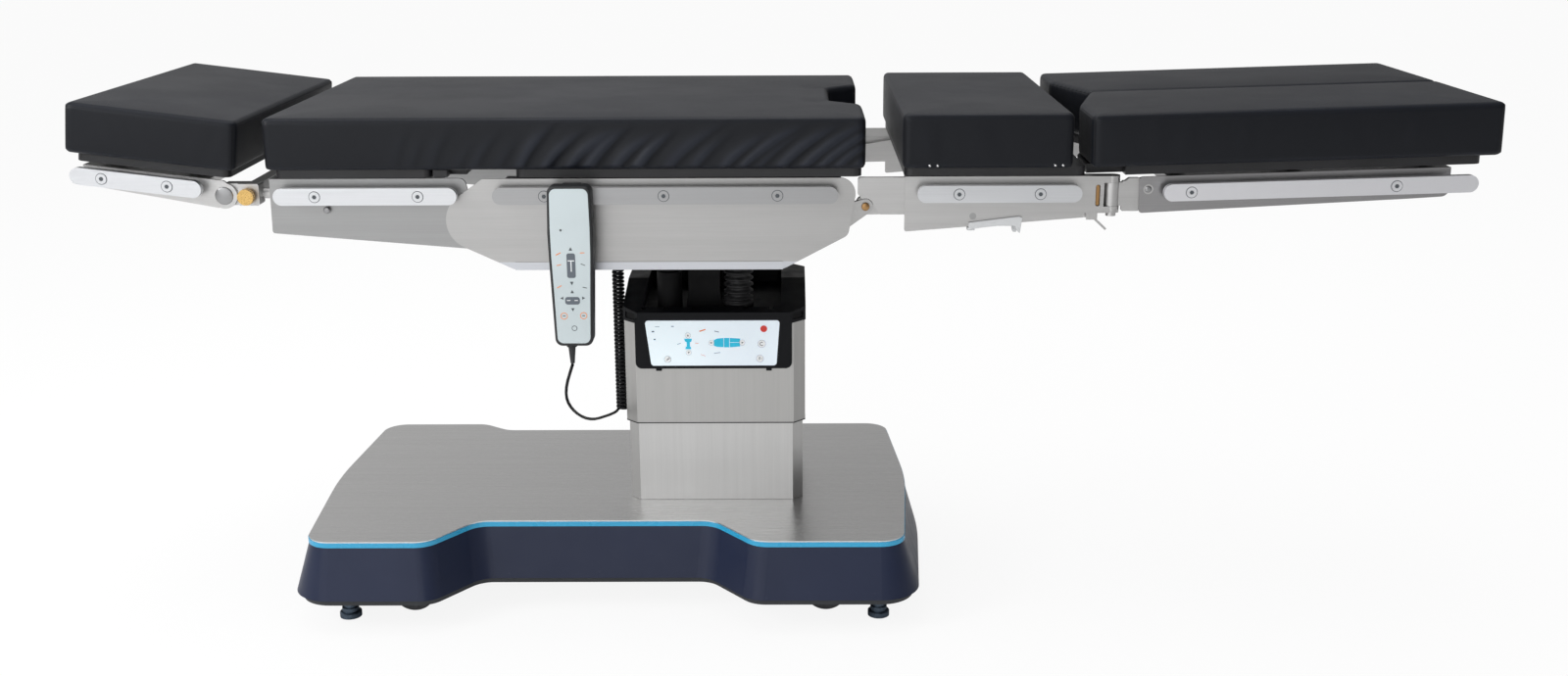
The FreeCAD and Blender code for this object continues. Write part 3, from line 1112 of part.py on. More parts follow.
def cord_path():
    """Straight runs joined by arcs as large as their runs allow; prints each arc's radius."""
    points = [V(*p) for p in CORD_ROUTE]
    edges, here, radii = [], points[0], []
    for before, corner, after in zip(points, points[1:], points[2:]):
        arrive, leave = corner - before, after - corner
        turn = arrive.getAngle(leave)
        reach = 0.45 * min(arrive.Length, leave.Length)
        radii.append(reach / math.tan(turn / 2))
        arrive.normalize()
        leave.normalize()
        start, end = corner - arrive * reach, corner + leave * reach
        inward = leave - arrive
        inward.normalize()
        centre = corner + inward * math.hypot(reach, radii[-1])
        middle = centre - inward * radii[-1]
        edges.append(Part.LineSegment(here, start).toShape())
        edges.append(Part.Arc(start, middle, end).toShape())
        here = end
    edges.append(Part.LineSegment(here, points[-1]).toShape())
    print("cord arc radii", [round(r, 1) for r in radii])
    return Part.Wire(edges)


def build_handset():
    save("handset", handset())
    path = cord_path()
    start, first = path.Edges[0].Vertexes
    ring = Part.Wire(Part.makeCircle(CORD_R, start.Point, first.Point - start.Point))
    tube = path.makePipeShell([ring], True, True)
    print("cord length", round(path.Length, 1), "tube volume ratio",
          round(tube.Volume / (math.pi * CORD_R**2 * path.Length), 4))
    save("handset_cord", tube)
    save("handset_coil", cylinder_z(COIL_X, 0, COIL_R, COIL_Z[0], COIL_Z[1] - SEAT_GAP))


os.makedirs("parts", exist_ok=True)
build_base()
build_column()
build_tilt_head()
build_main()
build_back()
build_head()
build_seat()
build_legs()
build_handset()
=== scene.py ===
import json
import math

import bmesh
import bpy
import numpy as np
from mathutils import Matrix, Vector


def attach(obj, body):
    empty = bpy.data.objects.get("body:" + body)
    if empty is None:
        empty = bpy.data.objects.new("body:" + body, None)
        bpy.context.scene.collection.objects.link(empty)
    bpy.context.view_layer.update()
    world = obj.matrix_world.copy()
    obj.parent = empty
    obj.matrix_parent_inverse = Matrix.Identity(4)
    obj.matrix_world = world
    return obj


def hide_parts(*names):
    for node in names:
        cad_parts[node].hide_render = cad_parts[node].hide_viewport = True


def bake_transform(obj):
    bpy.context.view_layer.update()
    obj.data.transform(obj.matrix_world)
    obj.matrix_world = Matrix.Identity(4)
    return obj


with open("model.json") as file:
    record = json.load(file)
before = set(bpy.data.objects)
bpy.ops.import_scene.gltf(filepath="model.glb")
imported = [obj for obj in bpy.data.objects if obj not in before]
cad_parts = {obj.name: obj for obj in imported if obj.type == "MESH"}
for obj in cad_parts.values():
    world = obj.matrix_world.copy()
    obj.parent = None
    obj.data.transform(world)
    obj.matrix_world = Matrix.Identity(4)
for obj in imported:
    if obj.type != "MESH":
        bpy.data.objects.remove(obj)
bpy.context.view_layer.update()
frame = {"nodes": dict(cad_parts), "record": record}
nodes = frame["nodes"]
bpy.ops.object.select_all(action="DESELECT")

MM = 0.001

# Own frames of the sections that stand at an angle at rest, as in the solids
HEAD_PLACE = Matrix.Translation((-0.815, 0, 0.6786)) @ Matrix.Rotation(math.radians(7.0), 4, "Y")
LEG_PLACE = Matrix.Translation((0.532, 0, 0.6842)) @ Matrix.Rotation(math.radians(-1.6), 4, "Y")
STILL = Matrix.Identity(4)


# Camera

CAMERA_PLACE = (0.01035, -2.56054, 1.12073)
CAMERA_LENS = 36.956
CAMERA_DOWN = 0.278
CAMERA_TURN = 0.004
CAMERA_ROLL = -0.004


def make_camera():
    """Before the table's middle, a little above it, looking slightly down."""
    data = bpy.data.cameras.new("camera")
    data.sensor_width = 36.0
    data.lens = CAMERA_LENS
    data.clip_end = 60
    camera = bpy.data.objects.new("camera", data)
    bpy.context.collection.objects.link(camera)
    turn = Matrix.Rotation(CAMERA_TURN, 4, "Z")
    down = Matrix.Rotation(math.pi / 2 - CAMERA_DOWN, 4, "X")
    roll = Matrix.Rotation(CAMERA_ROLL, 4, "Z")
    camera.matrix_world = Matrix.Translation(CAMERA_PLACE) @ turn @ down @ roll
    bpy.context.scene.camera = camera


make_camera()


# Materials


class Wire:
    """One socket of a material, so that its maths reads as plain expressions."""

    def __init__(self, finish, socket):
        self.finish = finish
        self.socket = socket

    def maths(self, operation, *others, swap=False):
        terms = [self, *others]
        if swap:
            terms.reverse()
        inputs = {i: term for i, term in enumerate(terms)}
        return self.finish.node("ShaderNodeMath", {"operation": operation}, inputs)

    def __add__(self, other):
        return self.maths("ADD", other)

    def __mul__(self, other):
        return self.maths("MULTIPLY", other)

    def __sub__(self, other):
        return self.maths("SUBTRACT", other)

    def __rsub__(self, other):
        return self.maths("SUBTRACT", other, swap=True)

    def above(self, level):
        return self.maths("GREATER_THAN", level)

    def below(self, level):
        return self.maths("LESS_THAN", level)

    def power(self, exponent):
        return self.maths("POWER", exponent)

    def size(self):
        return self.maths("ABSOLUTE")

    def sine(self):
        return self.maths("SINE")

    def angle_to(self, across):
        return self.maths("ARCTAN2", across)

    def bell(self, middle, width):
        """1 at the middle, falling smoothly to 0 at a distance of width."""
        return 1 - (self - middle).size().spread(0.0, width)

    def most(self, other):
        return self.maths("MAXIMUM", other)

    def spread(self, low, high, to_low=0.0, to_high=1.0):
        """A smooth step of this value from one range to another."""
        settings = {"interpolation_type": "SMOOTHSTEP"}
        inputs = {"Value": self, "From Min": low, "From Max": high,
                  "To Min": to_low, "To Max": to_high}
        return self.finish.node("ShaderNodeMapRange", settings, inputs)


class Finish:
    """A material being made: one Principled shader and the nodes that feed it."""

    def __init__(self, name, colour, roughness, metallic=0.0, coat=0.0, coat_roughness=0.1,
                 specular=0.5):
        self.material = bpy.data.materials.new(name)
        self.material.use_nodes = True
        self.tree = self.material.node_tree
        self.shader = self.tree.nodes["Principled BSDF"]
        self.set("Base Color", (*colour, 1))
        self.set("Roughness", roughness)
        self.set("Metallic", metallic)
        self.set("Coat Weight", coat)
        self.set("Coat Roughness", coat_roughness)
        self.set("Specular IOR Level", specular)
        self.colour = colour

    def set(self, name, value):
        self.join(self.shader.inputs[name], value)

    def join(self, socket, value):
        if isinstance(value, Wire):
            self.tree.links.new(value.socket, socket)
        elif isinstance(value, (tuple, list)) and len(value) == 3 and socket.type == "RGBA":
            socket.default_value = (*value, 1)
        else:
            socket.default_value = value

    def node(self, kind, settings=None, inputs=None, output=0):
        made = self.tree.nodes.new(kind)
        for name, value in (settings or {}).items():
            setattr(made, name, value)
        for name, value in (inputs or {}).items():
            self.join(made.inputs[name], value)
        return Wire(self, made.outputs[output])

    def place(self, scale=(1, 1, 1)):
        """Object coordinates, stretched along the axes."""
        where = self.node("ShaderNodeTexCoord", output="Object")
        return self.node("ShaderNodeMapping", None, {"Vector": where, "Scale": scale})

    def axes(self):
        """The place on the object as three values: x, y and z in metres."""
        where = self.node("ShaderNodeTexCoord", output="Object")
        split = self.node("ShaderNodeSeparateXYZ", None, {0: where})
        return [Wire(self, output) for output in split.socket.node.outputs]

    def noise(self, scale, detail=3.0, rough=0.55, stretch=(1, 1, 1)):
        inputs = {"Vector": self.place(stretch), "Scale": scale, "Detail": detail,
                  "Roughness": rough}
        return self.node("ShaderNodeTexNoise", None, inputs)

    def cells(self, scale):
        inputs = {"Vector": self.place(), "Scale": scale}
        return self.node("ShaderNodeTexVoronoi", None, inputs, output="Distance")

    def value_of(self, attribute):
        """A value that the mesh itself carries at each point."""
        return self.node("ShaderNodeAttribute", {"attribute_name": attribute}, output="Fac")

    def blend(self, amount, first, second):
        """Mix of two colours."""
        inputs = {0: amount, 6: first, 7: second}
        return self.node("ShaderNodeMix", {"data_type": "RGBA"}, inputs, output=2)

    def bump(self, height, strength, distance):
        inputs = {"Height": height, "Strength": strength, "Distance": distance}
        self.set("Normal", self.node("ShaderNodeBump", None, inputs))

    def shade(self, factor):
        """The finish's own colour, darkened or lightened."""
        return tuple(min(1.0, c * factor) for c in self.colour)


# How far below the pad's top its seam runs in millimetres, and the corner of the long pad's notch
SEAM_DROP = 5.5
NOTCH_CORNER = (0.080, 0.074)


def leatherette():
    """Black coated cloth: fine grain, dull sheen, lighter patches and edge seams; the side walls
    get painted shade and the folds painted highlights.
    """
    f = Finish("cushion_leatherette", (0.0075, 0.0092, 0.0145), 0.46, specular=0.24)
    soft = f.noise(7.0, 3.0)
    patch = f.noise(2.2, 2.0)
    seam = f.value_of("drop").bell(SEAM_DROP, 1.2) * f.value_of("side")
    corner = f.value_of("corner").bell(0.0, 1.6) * f.value_of("side")
    line = seam.most(corner)
    x, y, _ = f.axes()
    # Gathers that fan out from the inner corners of the notch
    puckers = []
    for side in (-1, 1):
        away, across = NOTCH_CORNER[0] - x, y * side - NOTCH_CORNER[1]
        reach = (away * away + across * across).power(0.5)
        fan = across.angle_to(away)
        wedge = fan.bell(0.25, 1.0) * reach.bell(0.034, 0.030)
        puckers.append((fan * 34.0 + reach * 40.0).sine() * wedge * away.above(0.0))
    gathers = puckers[0] + puckers[1]
    tone = f.blend(patch.spread(0.35, 0.7), f.shade(0.9), f.shade(1.2))
    fold = f.value_of("fold")
    # Painted shade and highlight: the side walls are painted darker than the top, and the folds
    # are painted lighter the higher they stand
    wall_painted_shade_and_fold_highlight = f.blend(fold.spread(0.0, 3.0), f.shade(0.6), f.shade(1.5))
    tone = f.blend(f.value_of("side"), tone, wall_painted_shade_and_fold_highlight)
    f.set("Base Color", f.blend(line * 0.7, tone, f.shade(0.25)))
    f.set("Roughness", soft.spread(0.3, 0.7, 0.42, 0.48) + line * 0.15)
    grain = f.cells(1500.0) * 0.6 + f.noise(900.0, 2.0) * 0.5
    f.bump(grain - line * 6.0 + gathers * 14.0, 0.25, 0.0005)
    f.set("Sheen Weight", 0.03)
    f.set("Sheen Roughness", 0.4)
    return f.material


# Stretches that turn a noise into brushing lines
ALONG_X = (0.012, 1, 1)
ALONG_Z = (1, 1, 0.012)


def brushed(name, colour, roughness, stretch, fine=900.0, contrast=0.06, depth=0.06):
    """Sheet metal with straight brushing lines along one axis, and faint handling marks."""
    f = Finish(name, colour, roughness, metallic=1.0)
    lines = f.noise(fine, 4.0, 0.7, stretch)
    wide = f.noise(fine * 0.12, 2.0, 0.6, stretch)
    cloud = f.noise(3.0, 2.0)
    tone = lines.spread(0.25, 0.75) * 0.6 + wide.spread(0.3, 0.7) * 0.4
    f.set("Base Color", f.blend(tone, f.shade(1 - contrast), f.shade(1 + contrast * 0.6)))
    f.set("Roughness", lines.spread(0.2, 0.8, roughness - 0.06, roughness + 0.08) + cloud * 0.04)
    f.bump(lines, depth, 0.0004)
    return f.material


def moulded(name, colour, roughness, grain=700.0, depth=0.08, coat=0.0, wear=0.15, specular=0.5):
    """Moulded plastic or painted metal: fine texture, and dust that dulls it in patches."""
    f = Finish(name, colour, roughness, coat=coat, coat_roughness=0.15, specular=specular)
    cloud = f.noise(4.0, 3.0)
    dust = f.noise(38.0, 4.0)
    f.set("Base Color", f.blend(cloud.spread(0.3, 0.7), f.shade(1 - wear), f.shade(1 + wear)))
    f.set("Roughness", dust.spread(0.3, 0.75, roughness - 0.05, roughness + 0.08))
    f.bump(f.noise(grain, 2.0), depth, 0.0004)
    return f.material


# How far out the leg sections' rails begin, and the top of the lip under the main side plates
RAIL_BACK = 0.2572
LIP_TOP = 0.5780


def rail_and_side(name, side_colour, rail_polish_and_painted_highlight):
    """One folded side with its rail, which stands proud of the plate; the rail is painted lighter,
    partly for its brighter polish and partly as a painted highlight.
    """
    f = Finish(name, side_colour, 0.34, metallic=1.0)
    _, y, _ = f.axes()
    rail = y.size().above(RAIL_BACK)
    lines = f.noise(900.0, 4.0, 0.7, ALONG_X)
    tone = lines.spread(0.25, 0.75)
    side = f.blend(tone, f.shade(0.93), f.shade(1.05))
    f.set("Base Color", f.blend(rail, side, rail_polish_and_painted_highlight))
    f.set("Roughness", tone * 0.1 + 0.3)
    f.bump(lines, 0.05, 0.0004)
    return f.material


def main_side():
    """Main side plates: the turned-out lip along the lower edge catches more light."""
    f = Finish("main_side_steel", (0.47, 0.465, 0.46), 0.36, metallic=1.0)
    _, _, z = f.axes()
    lip = z.below(LIP_TOP)
    lines = f.noise(900.0, 4.0, 0.7, ALONG_X)
    wide = f.noise(100.0, 2.0, 0.6, ALONG_X)
    tone = lines.spread(0.25, 0.75) * 0.6 + wide.spread(0.3, 0.7) * 0.4
    side = f.blend(tone, f.shade(0.95), f.shade(1.06))
    f.set("Base Color", f.blend(lip, side, (0.60, 0.615, 0.65)))
    f.set("Roughness", tone * 0.1 + 0.31)
    f.bump(lines, 0.05, 0.0004)
    return f.material


def machined(name, colour, roughness, grain=260.0):
    """Bright metal with the fine marks of turning and polishing."""
    f = Finish(name, colour, roughness, metallic=1.0)
    marks = f.noise(grain, 3.0)
    f.set("Base Color", f.blend(marks, f.shade(0.86), f.shade(1.08)))
    f.set("Roughness", marks.spread(0.3, 0.7, roughness - 0.05, roughness + 0.09))
    f.bump(marks, 0.04, 0.0003)
    return f.material


def laminate():
    """Black phenolic board, faintly mottled."""
    f = Finish("plate_black", (0.012, 0.012, 0.014), 0.36)
    fine = f.noise(420.0, 3.0)
    cloud = f.noise(12.0, 2.0)
    f.set("Base Color", f.blend(cloud.spread(0.3, 0.7), f.shade(0.8), f.shade(1.4)))
    f.set("Roughness", fine.spread(0.3, 0.7, 0.3, 0.42))
    f.bump(fine, 0.05, 0.0003)
    return f.material


def skirt_plastic():
    """Navy moulded skirt with a silky lacquer and scuffs near the floor."""
    f = Finish("skirt_navy", (0.0165, 0.0225, 0.050), 0.36, coat=0.06, coat_roughness=0.25,
               specular=0.22)
    _, _, z = f.axes()
    low = 1 - z.spread(0.05, 0.085)
    scuff = f.noise(60.0, 5.0, 0.7, (1, 1, 2.5)).spread(0.62, 0.78) * low
    cloud = f.noise(3.0, 2.0)
    tone = f.blend(cloud.spread(0.3, 0.7), f.shade(0.92), f.shade(1.1))
    f.set("Base Color", f.blend(scuff * 0.5, tone, (0.09, 0.1, 0.13)))
    f.set("Roughness", f.noise(24.0, 3.0).spread(0.3, 0.7, 0.3, 0.4) + scuff * 0.2)
    f.bump(f.noise(500.0, 2.0), 0.03, 0.0003)
    return f.material


def panel_film():
    """Pale blue membrane film, brighter towards the head end, with a fine satin grain and a faint
    painted glow.
    """
    f = Finish("panel_film", (0.7, 0.82, 0.9), 0.32, specular=0.4)
    x, _, _ = f.axes()
    across = x.spread(-0.2, -0.05)
    f.set("Base Color", f.blend(across, (0.84, 0.94, 0.985), (0.80, 0.88, 0.945)))
    f.set("Roughness", f.noise(600.0, 2.0).spread(0.3, 0.7, 0.26, 0.36))
    f.bump(f.noise(900.0, 2.0), 0.03, 0.0002)
    # Painted glow: the film is no lamp, and the emission only brightens it
    f.set("Emission Color", (0.80, 0.90, 1.0))
    f.set("Emission Strength", 0.13)
    return f.material


def bellows_rubber():
    """Matt black rubber with pale dust."""
    f = Finish("bellows_rubber", (0.012, 0.012, 0.013), 0.5)
    dust = f.noise(90.0, 4.0)
    f.set("Base Color", f.blend(dust.spread(0.45, 0.8), f.shade(1.0), (0.04, 0.04, 0.042)))
    f.set("Roughness", dust.spread(0.3, 0.7, 0.42, 0.6))
    f.bump(dust, 0.1, 0.0005)
    return f.material


def tyre_rubber():
    """Dark rubber of the casters with pale dust."""
    f = Finish("tyre_grey", (0.035, 0.036, 0.04), 0.55)
    dust = f.noise(120.0, 4.0)
    f.set("Base Color", f.blend(dust.spread(0.4, 0.8), f.shade(0.9), (0.1, 0.1, 0.105)))
    f.set("Roughness", dust.spread(0.3, 0.7, 0.48, 0.65))
    f.bump(dust, 0.12, 0.0006)
    return f.material


def cord_jacket():
    """Smooth black jacket of the cord."""
    f = Finish("cord_black", (0.005, 0.005, 0.006), 0.36, specular=0.25)
    mould = f.noise(260.0, 3.0)
    f.set("Base Color", f.blend(mould, f.shade(0.8), f.shade(1.5)))
    f.set("Roughness", mould.spread(0.3, 0.7, 0.32, 0.42))
    f.bump(mould, 0.06, 0.0003)
    return f.material


def printed(name, colour):
    """Ink on film: almost even, with the film's grain and slightly uneven cover."""
    f = Finish(name, colour, 0.35)
    cover = f.noise(350.0, 3.0)
    f.set("Base Color", f.blend(cover, f.shade(0.92), f.shade(1.06)))
    f.set("Roughness", cover.spread(0.3, 0.7, 0.31, 0.41))
    f.bump(cover, 0.03, 0.0002)
    return f.material


LEVER_PIN = (0.278, 0.645)
LEVER_PIN_EDGE = 0.0062


def lever_plastic():
    """White moulding on a steel pin."""
    f = Finish("lever_white", (0.62, 0.63, 0.64), 0.35)
    x, _, z = f.axes()
    along, up = x - LEVER_PIN[0], z - LEVER_PIN[1]
    pin = (along * along + up * up).power(0.5).below(LEVER_PIN_EDGE)
    cloud = f.noise(30.0, 3.0)
    white = f.blend(cloud, f.shade(0.94), f.shade(1.05))
    f.set("Base Color", f.blend(pin, white, (0.42, 0.42, 0.42)))
    f.set("Metallic", pin)
    f.set("Roughness", cloud.spread(0.3, 0.7, 0.3, 0.42))
    f.bump(f.noise(700.0, 2.0), 0.04, 0.0003)
    return f.material


LEATHERETTE = leatherette()
FRAME_STEEL = brushed("frame_steel", (0.57, 0.565, 0.56), 0.36, ALONG_X, contrast=0.08)
RAIL_STEEL = brushed("rail_steel", (0.70, 0.71, 0.73), 0.32, ALONG_X, 700.0)
COVER_STEEL = brushed("cover_steel", (0.47, 0.465, 0.455), 0.34, ALONG_Z)
DECK_STEEL = brushed("deck_steel", (0.80, 0.795, 0.79), 0.27, ALONG_X, 1300.0, depth=0.03)
PLATE_BLACK = laminate()
SKIRT_NAVY = skirt_plastic()
STRIP_CYAN = moulded("strip_cyan", (0.025, 0.36, 0.62), 0.3, depth=0.03, coat=0.3, wear=0.05)
CHASSIS_PAINT = moulded("chassis_paint", (0.03, 0.033, 0.038), 0.5)
ZINC = machined("zinc", (0.13, 0.17, 0.22), 0.4, 120.0)
TYRE = tyre_rubber()
CAP_BLACK = moulded("cap_black", (0.0035, 0.004, 0.0055), 0.42, 1100.0, 0.12, wear=0.1,
                    specular=0.16)
PANEL_FILM_PAINTED_GLOW = panel_film()
CASTING = moulded("casting", (0.003, 0.003, 0.0035), 0.55, 240.0, 0.15, specular=0.15)
BELLOWS = bellows_rubber()
CHROME = machined("chrome", (0.75, 0.75, 0.76), 0.12)
KNOB_GOLD = machined("knob_gold", (0.72, 0.47, 0.17), 0.28, 500.0)
LEVER_WHITE = lever_plastic()
HANDSET_EDGE = moulded("handset_edge", (0.014, 0.015, 0.017), 0.5, 900.0, 0.12)
HANDSET_FACE = moulded("handset_face", (0.56, 0.63, 0.65), 0.4, 900.0, 0.05, wear=0.06)
CORD_BLACK = cord_jacket()
BRONZE = machined("bronze", (0.46, 0.27, 0.12), 0.38, 200.0)
# The main rail is a darker copy of the rail steel: painted shade
MAIN_RAIL_PAINTED_SHADE = brushed("main_rail_steel_painted_shade", (0.40, 0.40, 0.405), 0.34, ALONG_X, 700.0)
# The leg rail is lighter than the other rails: a painted highlight
LEG_SIDE_PAINTED_RAIL_HIGHLIGHT = rail_and_side("leg_side_steel", (0.37, 0.365, 0.37), (0.85, 0.85, 0.88))
MAIN_SIDE = main_side()
BACK_SIDE = brushed("back_side_steel", (0.365, 0.365, 0.365), 0.36, ALONG_X, contrast=0.08)
# The lower column cover is a lighter copy of the cover steel: a painted reflection of the deck
LOWER_COVER_PAINTED_REFLECTION = brushed("lower_cover_steel_painted_reflection", (0.60, 0.597, 0.59), 0.34, ALONG_Z)
PIVOT_STEEL = machined("pivot_steel", (0.36, 0.36, 0.365), 0.38, 300.0)
# Near-black for the painted shadow line between the column covers
PAINTED_STEP_SHADOW = moulded("painted_step_shadow", (0.006, 0.006, 0.006), 0.6)
INK_WHITE = printed("ink_white", (0.92, 0.94, 0.95))
INK_CYAN = printed("ink_cyan", (0.01, 0.56, 0.82))
INK_RED = printed("ink_red", (0.7, 0.035, 0.02))
INK_ORANGE = printed("ink_orange", (0.85, 0.25, 0.04))
INK_GREY_AND_PAINTED_SHADE = printed("ink_grey_and_painted_shade", (0.07, 0.08, 0.09))
INK_PALE = printed("ink_pale", (0.11, 0.13, 0.155))

FINISHES = {
    "cushion_leatherette": LEATHERETTE,
    "frame_steel": FRAME_STEEL,
    "rail_steel": RAIL_STEEL,
    "plate_black": PLATE_BLACK,
    "cover_steel": COVER_STEEL,
    "deck_steel": DECK_STEEL,
    "skirt_navy": SKIRT_NAVY,
    "strip_cyan": STRIP_CYAN,
    "chassis_paint": CHASSIS_PAINT,
    "zinc": ZINC,
    "tyre_grey": TYRE,
    "cap_black": CAP_BLACK,
    "panel_film": PANEL_FILM_PAINTED_GLOW,
    "casting": CASTING,
    "bellows_rubber": BELLOWS,
    "chrome": CHROME,
    "knob_gold": KNOB_GOLD,
    "lever_white": LEVER_WHITE,
    "handset_shell": HANDSET_EDGE,
    "cord_black": CORD_BLACK,
}

OWN_FINISHES = {
    "main_frame": MAIN_SIDE,
    "back_frame": BACK_SIDE,
    "leg_frame_near": LEG_SIDE_PAINTED_RAIL_HIGHLIGHT,
    "leg_frame_far": LEG_SIDE_PAINTED_RAIL_HIGHLIGHT,
    "main_side_rails": MAIN_RAIL_PAINTED_SHADE,
    "lower_column_cover": LOWER_COVER_PAINTED_REFLECTION,
}


def paint(obj, material):
    obj.data.materials.clear()
    obj.data.materials.append(material)


def finish_nodes():
    """Every solid gets the finish of its material slot, or its own where it has one."""
    slots = {part["node"]: part["material_slot"] for part in frame["record"]["subparts"]}
    for name, obj in nodes.items():
        paint(obj, OWN_FINISHES.get(name, FINISHES[slots[name]]))


finish_nodes()


# The hand control's cord

CORD_ROUTE = [
    (-0.3110, -0.2850, 0.4324),
    (-0.3170, -0.2845, 0.4150),
    (-0.3235, -0.2780, 0.3940),
    (-0.3263, -0.2610, 0.3710),
    (-0.3245, -0.2350, 0.3490),
    (-0.3190, -0.2000, 0.3255),
    (-0.3110, -0.1600, 0.3045),
    (-0.3025, -0.1180, 0.2890),
    (-0.2945, -0.0760, 0.2790),
    (-0.2865, -0.0400, 0.2710),
    (-0.2800, -0.0120, 0.2665),
]
CORD_THICK = 0.0047
CURL_MIDDLE = (-0.271, 0.0)
CURL_RADIUS = 0.0076
CURL_PITCH = 0.0064
CURL_HEIGHT = (0.2665, 0.6560)
CURL_POINTS = 12
# How much thicker the curl looks
CURL_SWELL = 1.2


def curl_points():
    """The curly stretch, from its lower end up to the gland under the tabletop."""
    low, high = CURL_HEIGHT
    steps = int(round((high - low) / CURL_PITCH * CURL_POINTS))
    points = []
    for i in range(steps + 1):
        angle = math.pi - math.tau * i / CURL_POINTS
        x = CURL_MIDDLE[0] + CURL_RADIUS * math.cos(angle)
        y = CURL_MIDDLE[1] + CURL_RADIUS * math.sin(angle)
        points.append((x, y, low + (high - low) * i / steps))
    return points


def cord_route():
    """The cord's whole line as one smooth spline, thicker along the curl."""
    points = CORD_ROUTE + curl_points()
    curve = bpy.data.curves.new("control_cord_route", "CURVE")
    curve.dimensions = "3D"
    curve.bevel_resolution = 2
    curve.resolution_u = 2
    curve.use_fill_caps = True
    spline = curve.splines.new("NURBS")
    spline.points.add(len(points) - 1)
    for point, place in zip(spline.points, points):
        point.co = (*place, 1)
    for point in spline.points[len(CORD_ROUTE) + 2:]:
        point.radius = CURL_SWELL
    spline.order_u = 3
    spline.use_endpoint_u = True
    return bpy.data.objects.new("control_cord_route", curve)


def make_cord():
    """A tube along the route, in place of the solid cord and its curl."""
    route = cord_route()
    path = [tuple(vertex.co) for vertex in bpy.data.meshes.new_from_object(route).vertices]
    route.data.bevel_depth = CORD_THICK / 2
    mesh = bpy.data.meshes.new_from_object(route)
    bpy.data.objects.remove(route)
    mesh.name = "control_cord"
    cord = bpy.data.objects.new("control_cord", mesh)
    bpy.context.collection.objects.link(cord)
    bpy.context.view_layer.objects.active = cord
    bpy.ops.object.mode_set(mode="EDIT")
    bpy.ops.mesh.select_all(action="SELECT")
    bpy.ops.mesh.remove_doubles(threshold=0.000002)
    bpy.ops.mesh.normals_make_consistent(inside=False)
    bpy.ops.object.mode_set(mode="OBJECT")
    mesh.shade_smooth()
    paint(cord, CORD_BLACK)
    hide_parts("handset_cord", "handset_coil")
    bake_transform(cord)


make_cord()


# Cushions


CORNER_STEPS = 6
PAD_FOOT = 717.3
LONG_PAD_TOP = 793
SEAT_PAD_TOP = 797
# Foot and top of the pads that are drawn in the own frame of a section
HEAD_PAD = (40.0, 113)
LEG_PAD = (36.0, 112.7)
PAD_HALF = 260
PAD_CORNER = 9
PAD_CROWN = 3.5
PAD_BELLY = 1.5
# In metres: how far the crown and the swelling take to rise, the crown's waves, the rounding of
# both rims and the cells of the even mesh
PAD_REACH = 0.05
CROWN_WAVE = 0.0007
TOP_RIM = 0.0045
FOOT_RIM = 0.0035
PAD_CELL = 0.004


def rectangle(x0, x1, y0, y1, radius):
    return [(x0, y0, radius), (x1, y0, radius), (x1, y1, radius), (x0, y1, radius)]


def rounded(corners):
    """Outline in metres from corners (x, y, radius) in millimetres."""
    outline = []
    count = len(corners)
    for i, (x, y, radius) in enumerate(corners):
        here = Vector((x, y))
        before = (Vector(corners[i - 1][:2]) - here).normalized()
        after = (Vector(corners[(i + 1) % count][:2]) - here).normalized()
        half = before.angle(after) / 2
        reach = radius / math.tan(half)
        start, end = here + before * reach, here + after * reach
        centre = here + (before + after).normalized() * (radius / math.sin(half))
        for k in range(CORNER_STEPS + 1):
            arm = (start - centre).lerp(end - centre, k / CORNER_STEPS).normalized() * radius
            outline.append((centre + arm) * MM)
    return outline


def rounded_mm(corners):
    """The same outline in millimetres."""
    return [(point.x * 1000, point.y * 1000) for point in rounded(corners)]


def distance_to(outline, xy):
    """Distance of each point in plan to the outline, in metres."""
    best = np.full(len(xy), 1e9)
    for a, b in zip(outline, outline[1:] + outline[:1]):
        a, b = np.array(a), np.array(b)
        side = b - a
        t = np.clip(((xy - a) @ side) / max(side @ side, 1e-12), 0, 1)
        best = np.minimum(best, np.linalg.norm(xy - a - t[:, None] * side, axis=1))
    return best


def apply_all(obj):
    bpy.ops.object.select_all(action="DESELECT")
    obj.select_set(True)
    bpy.context.view_layer.objects.active = obj
    for modifier in list(obj.modifiers):
        bpy.ops.object.modifier_apply(modifier=modifier.name)
    obj.select_set(False)


def flat_face(name, points):
    """One flat face through the given points, in metres."""
    bpy.ops.object.select_all(action="DESELECT")
    bpy.ops.mesh.primitive_circle_add(vertices=len(points), radius=1, fill_type="NGON")
    obj = bpy.context.object
    for vertex, point in zip(obj.data.vertices, points):
        vertex.co = point
    obj.name = name
    obj.data.name = name
    return obj


def extrude_all(way):
    """In edit mode: extrude the flat shape into a closed one whose faces point outwards."""
    bpy.ops.mesh.select_all(action="SELECT")
    bpy.ops.mesh.extrude_region_move(TRANSFORM_OT_translate={"value": way})
    bpy.ops.mesh.select_all(action="SELECT")
    bpy.ops.mesh.normals_make_consistent(inside=False)


def round_rim(obj, level, width, segments):
    """In edit mode: round the edges of the flat face at one height."""
    bpy.ops.mesh.select_all(action="DESELECT")
    bm = bmesh.from_edit_mesh(obj.data)
    for face in bm.faces:
        if all(abs(v.co.z - level) < 1e-6 for v in face.verts):
            face.select_set(True)
    bmesh.update_edit_mesh(obj.data)
    bpy.ops.mesh.bevel(offset=width, segments=segments, profile=0.5, affect="EDGES")


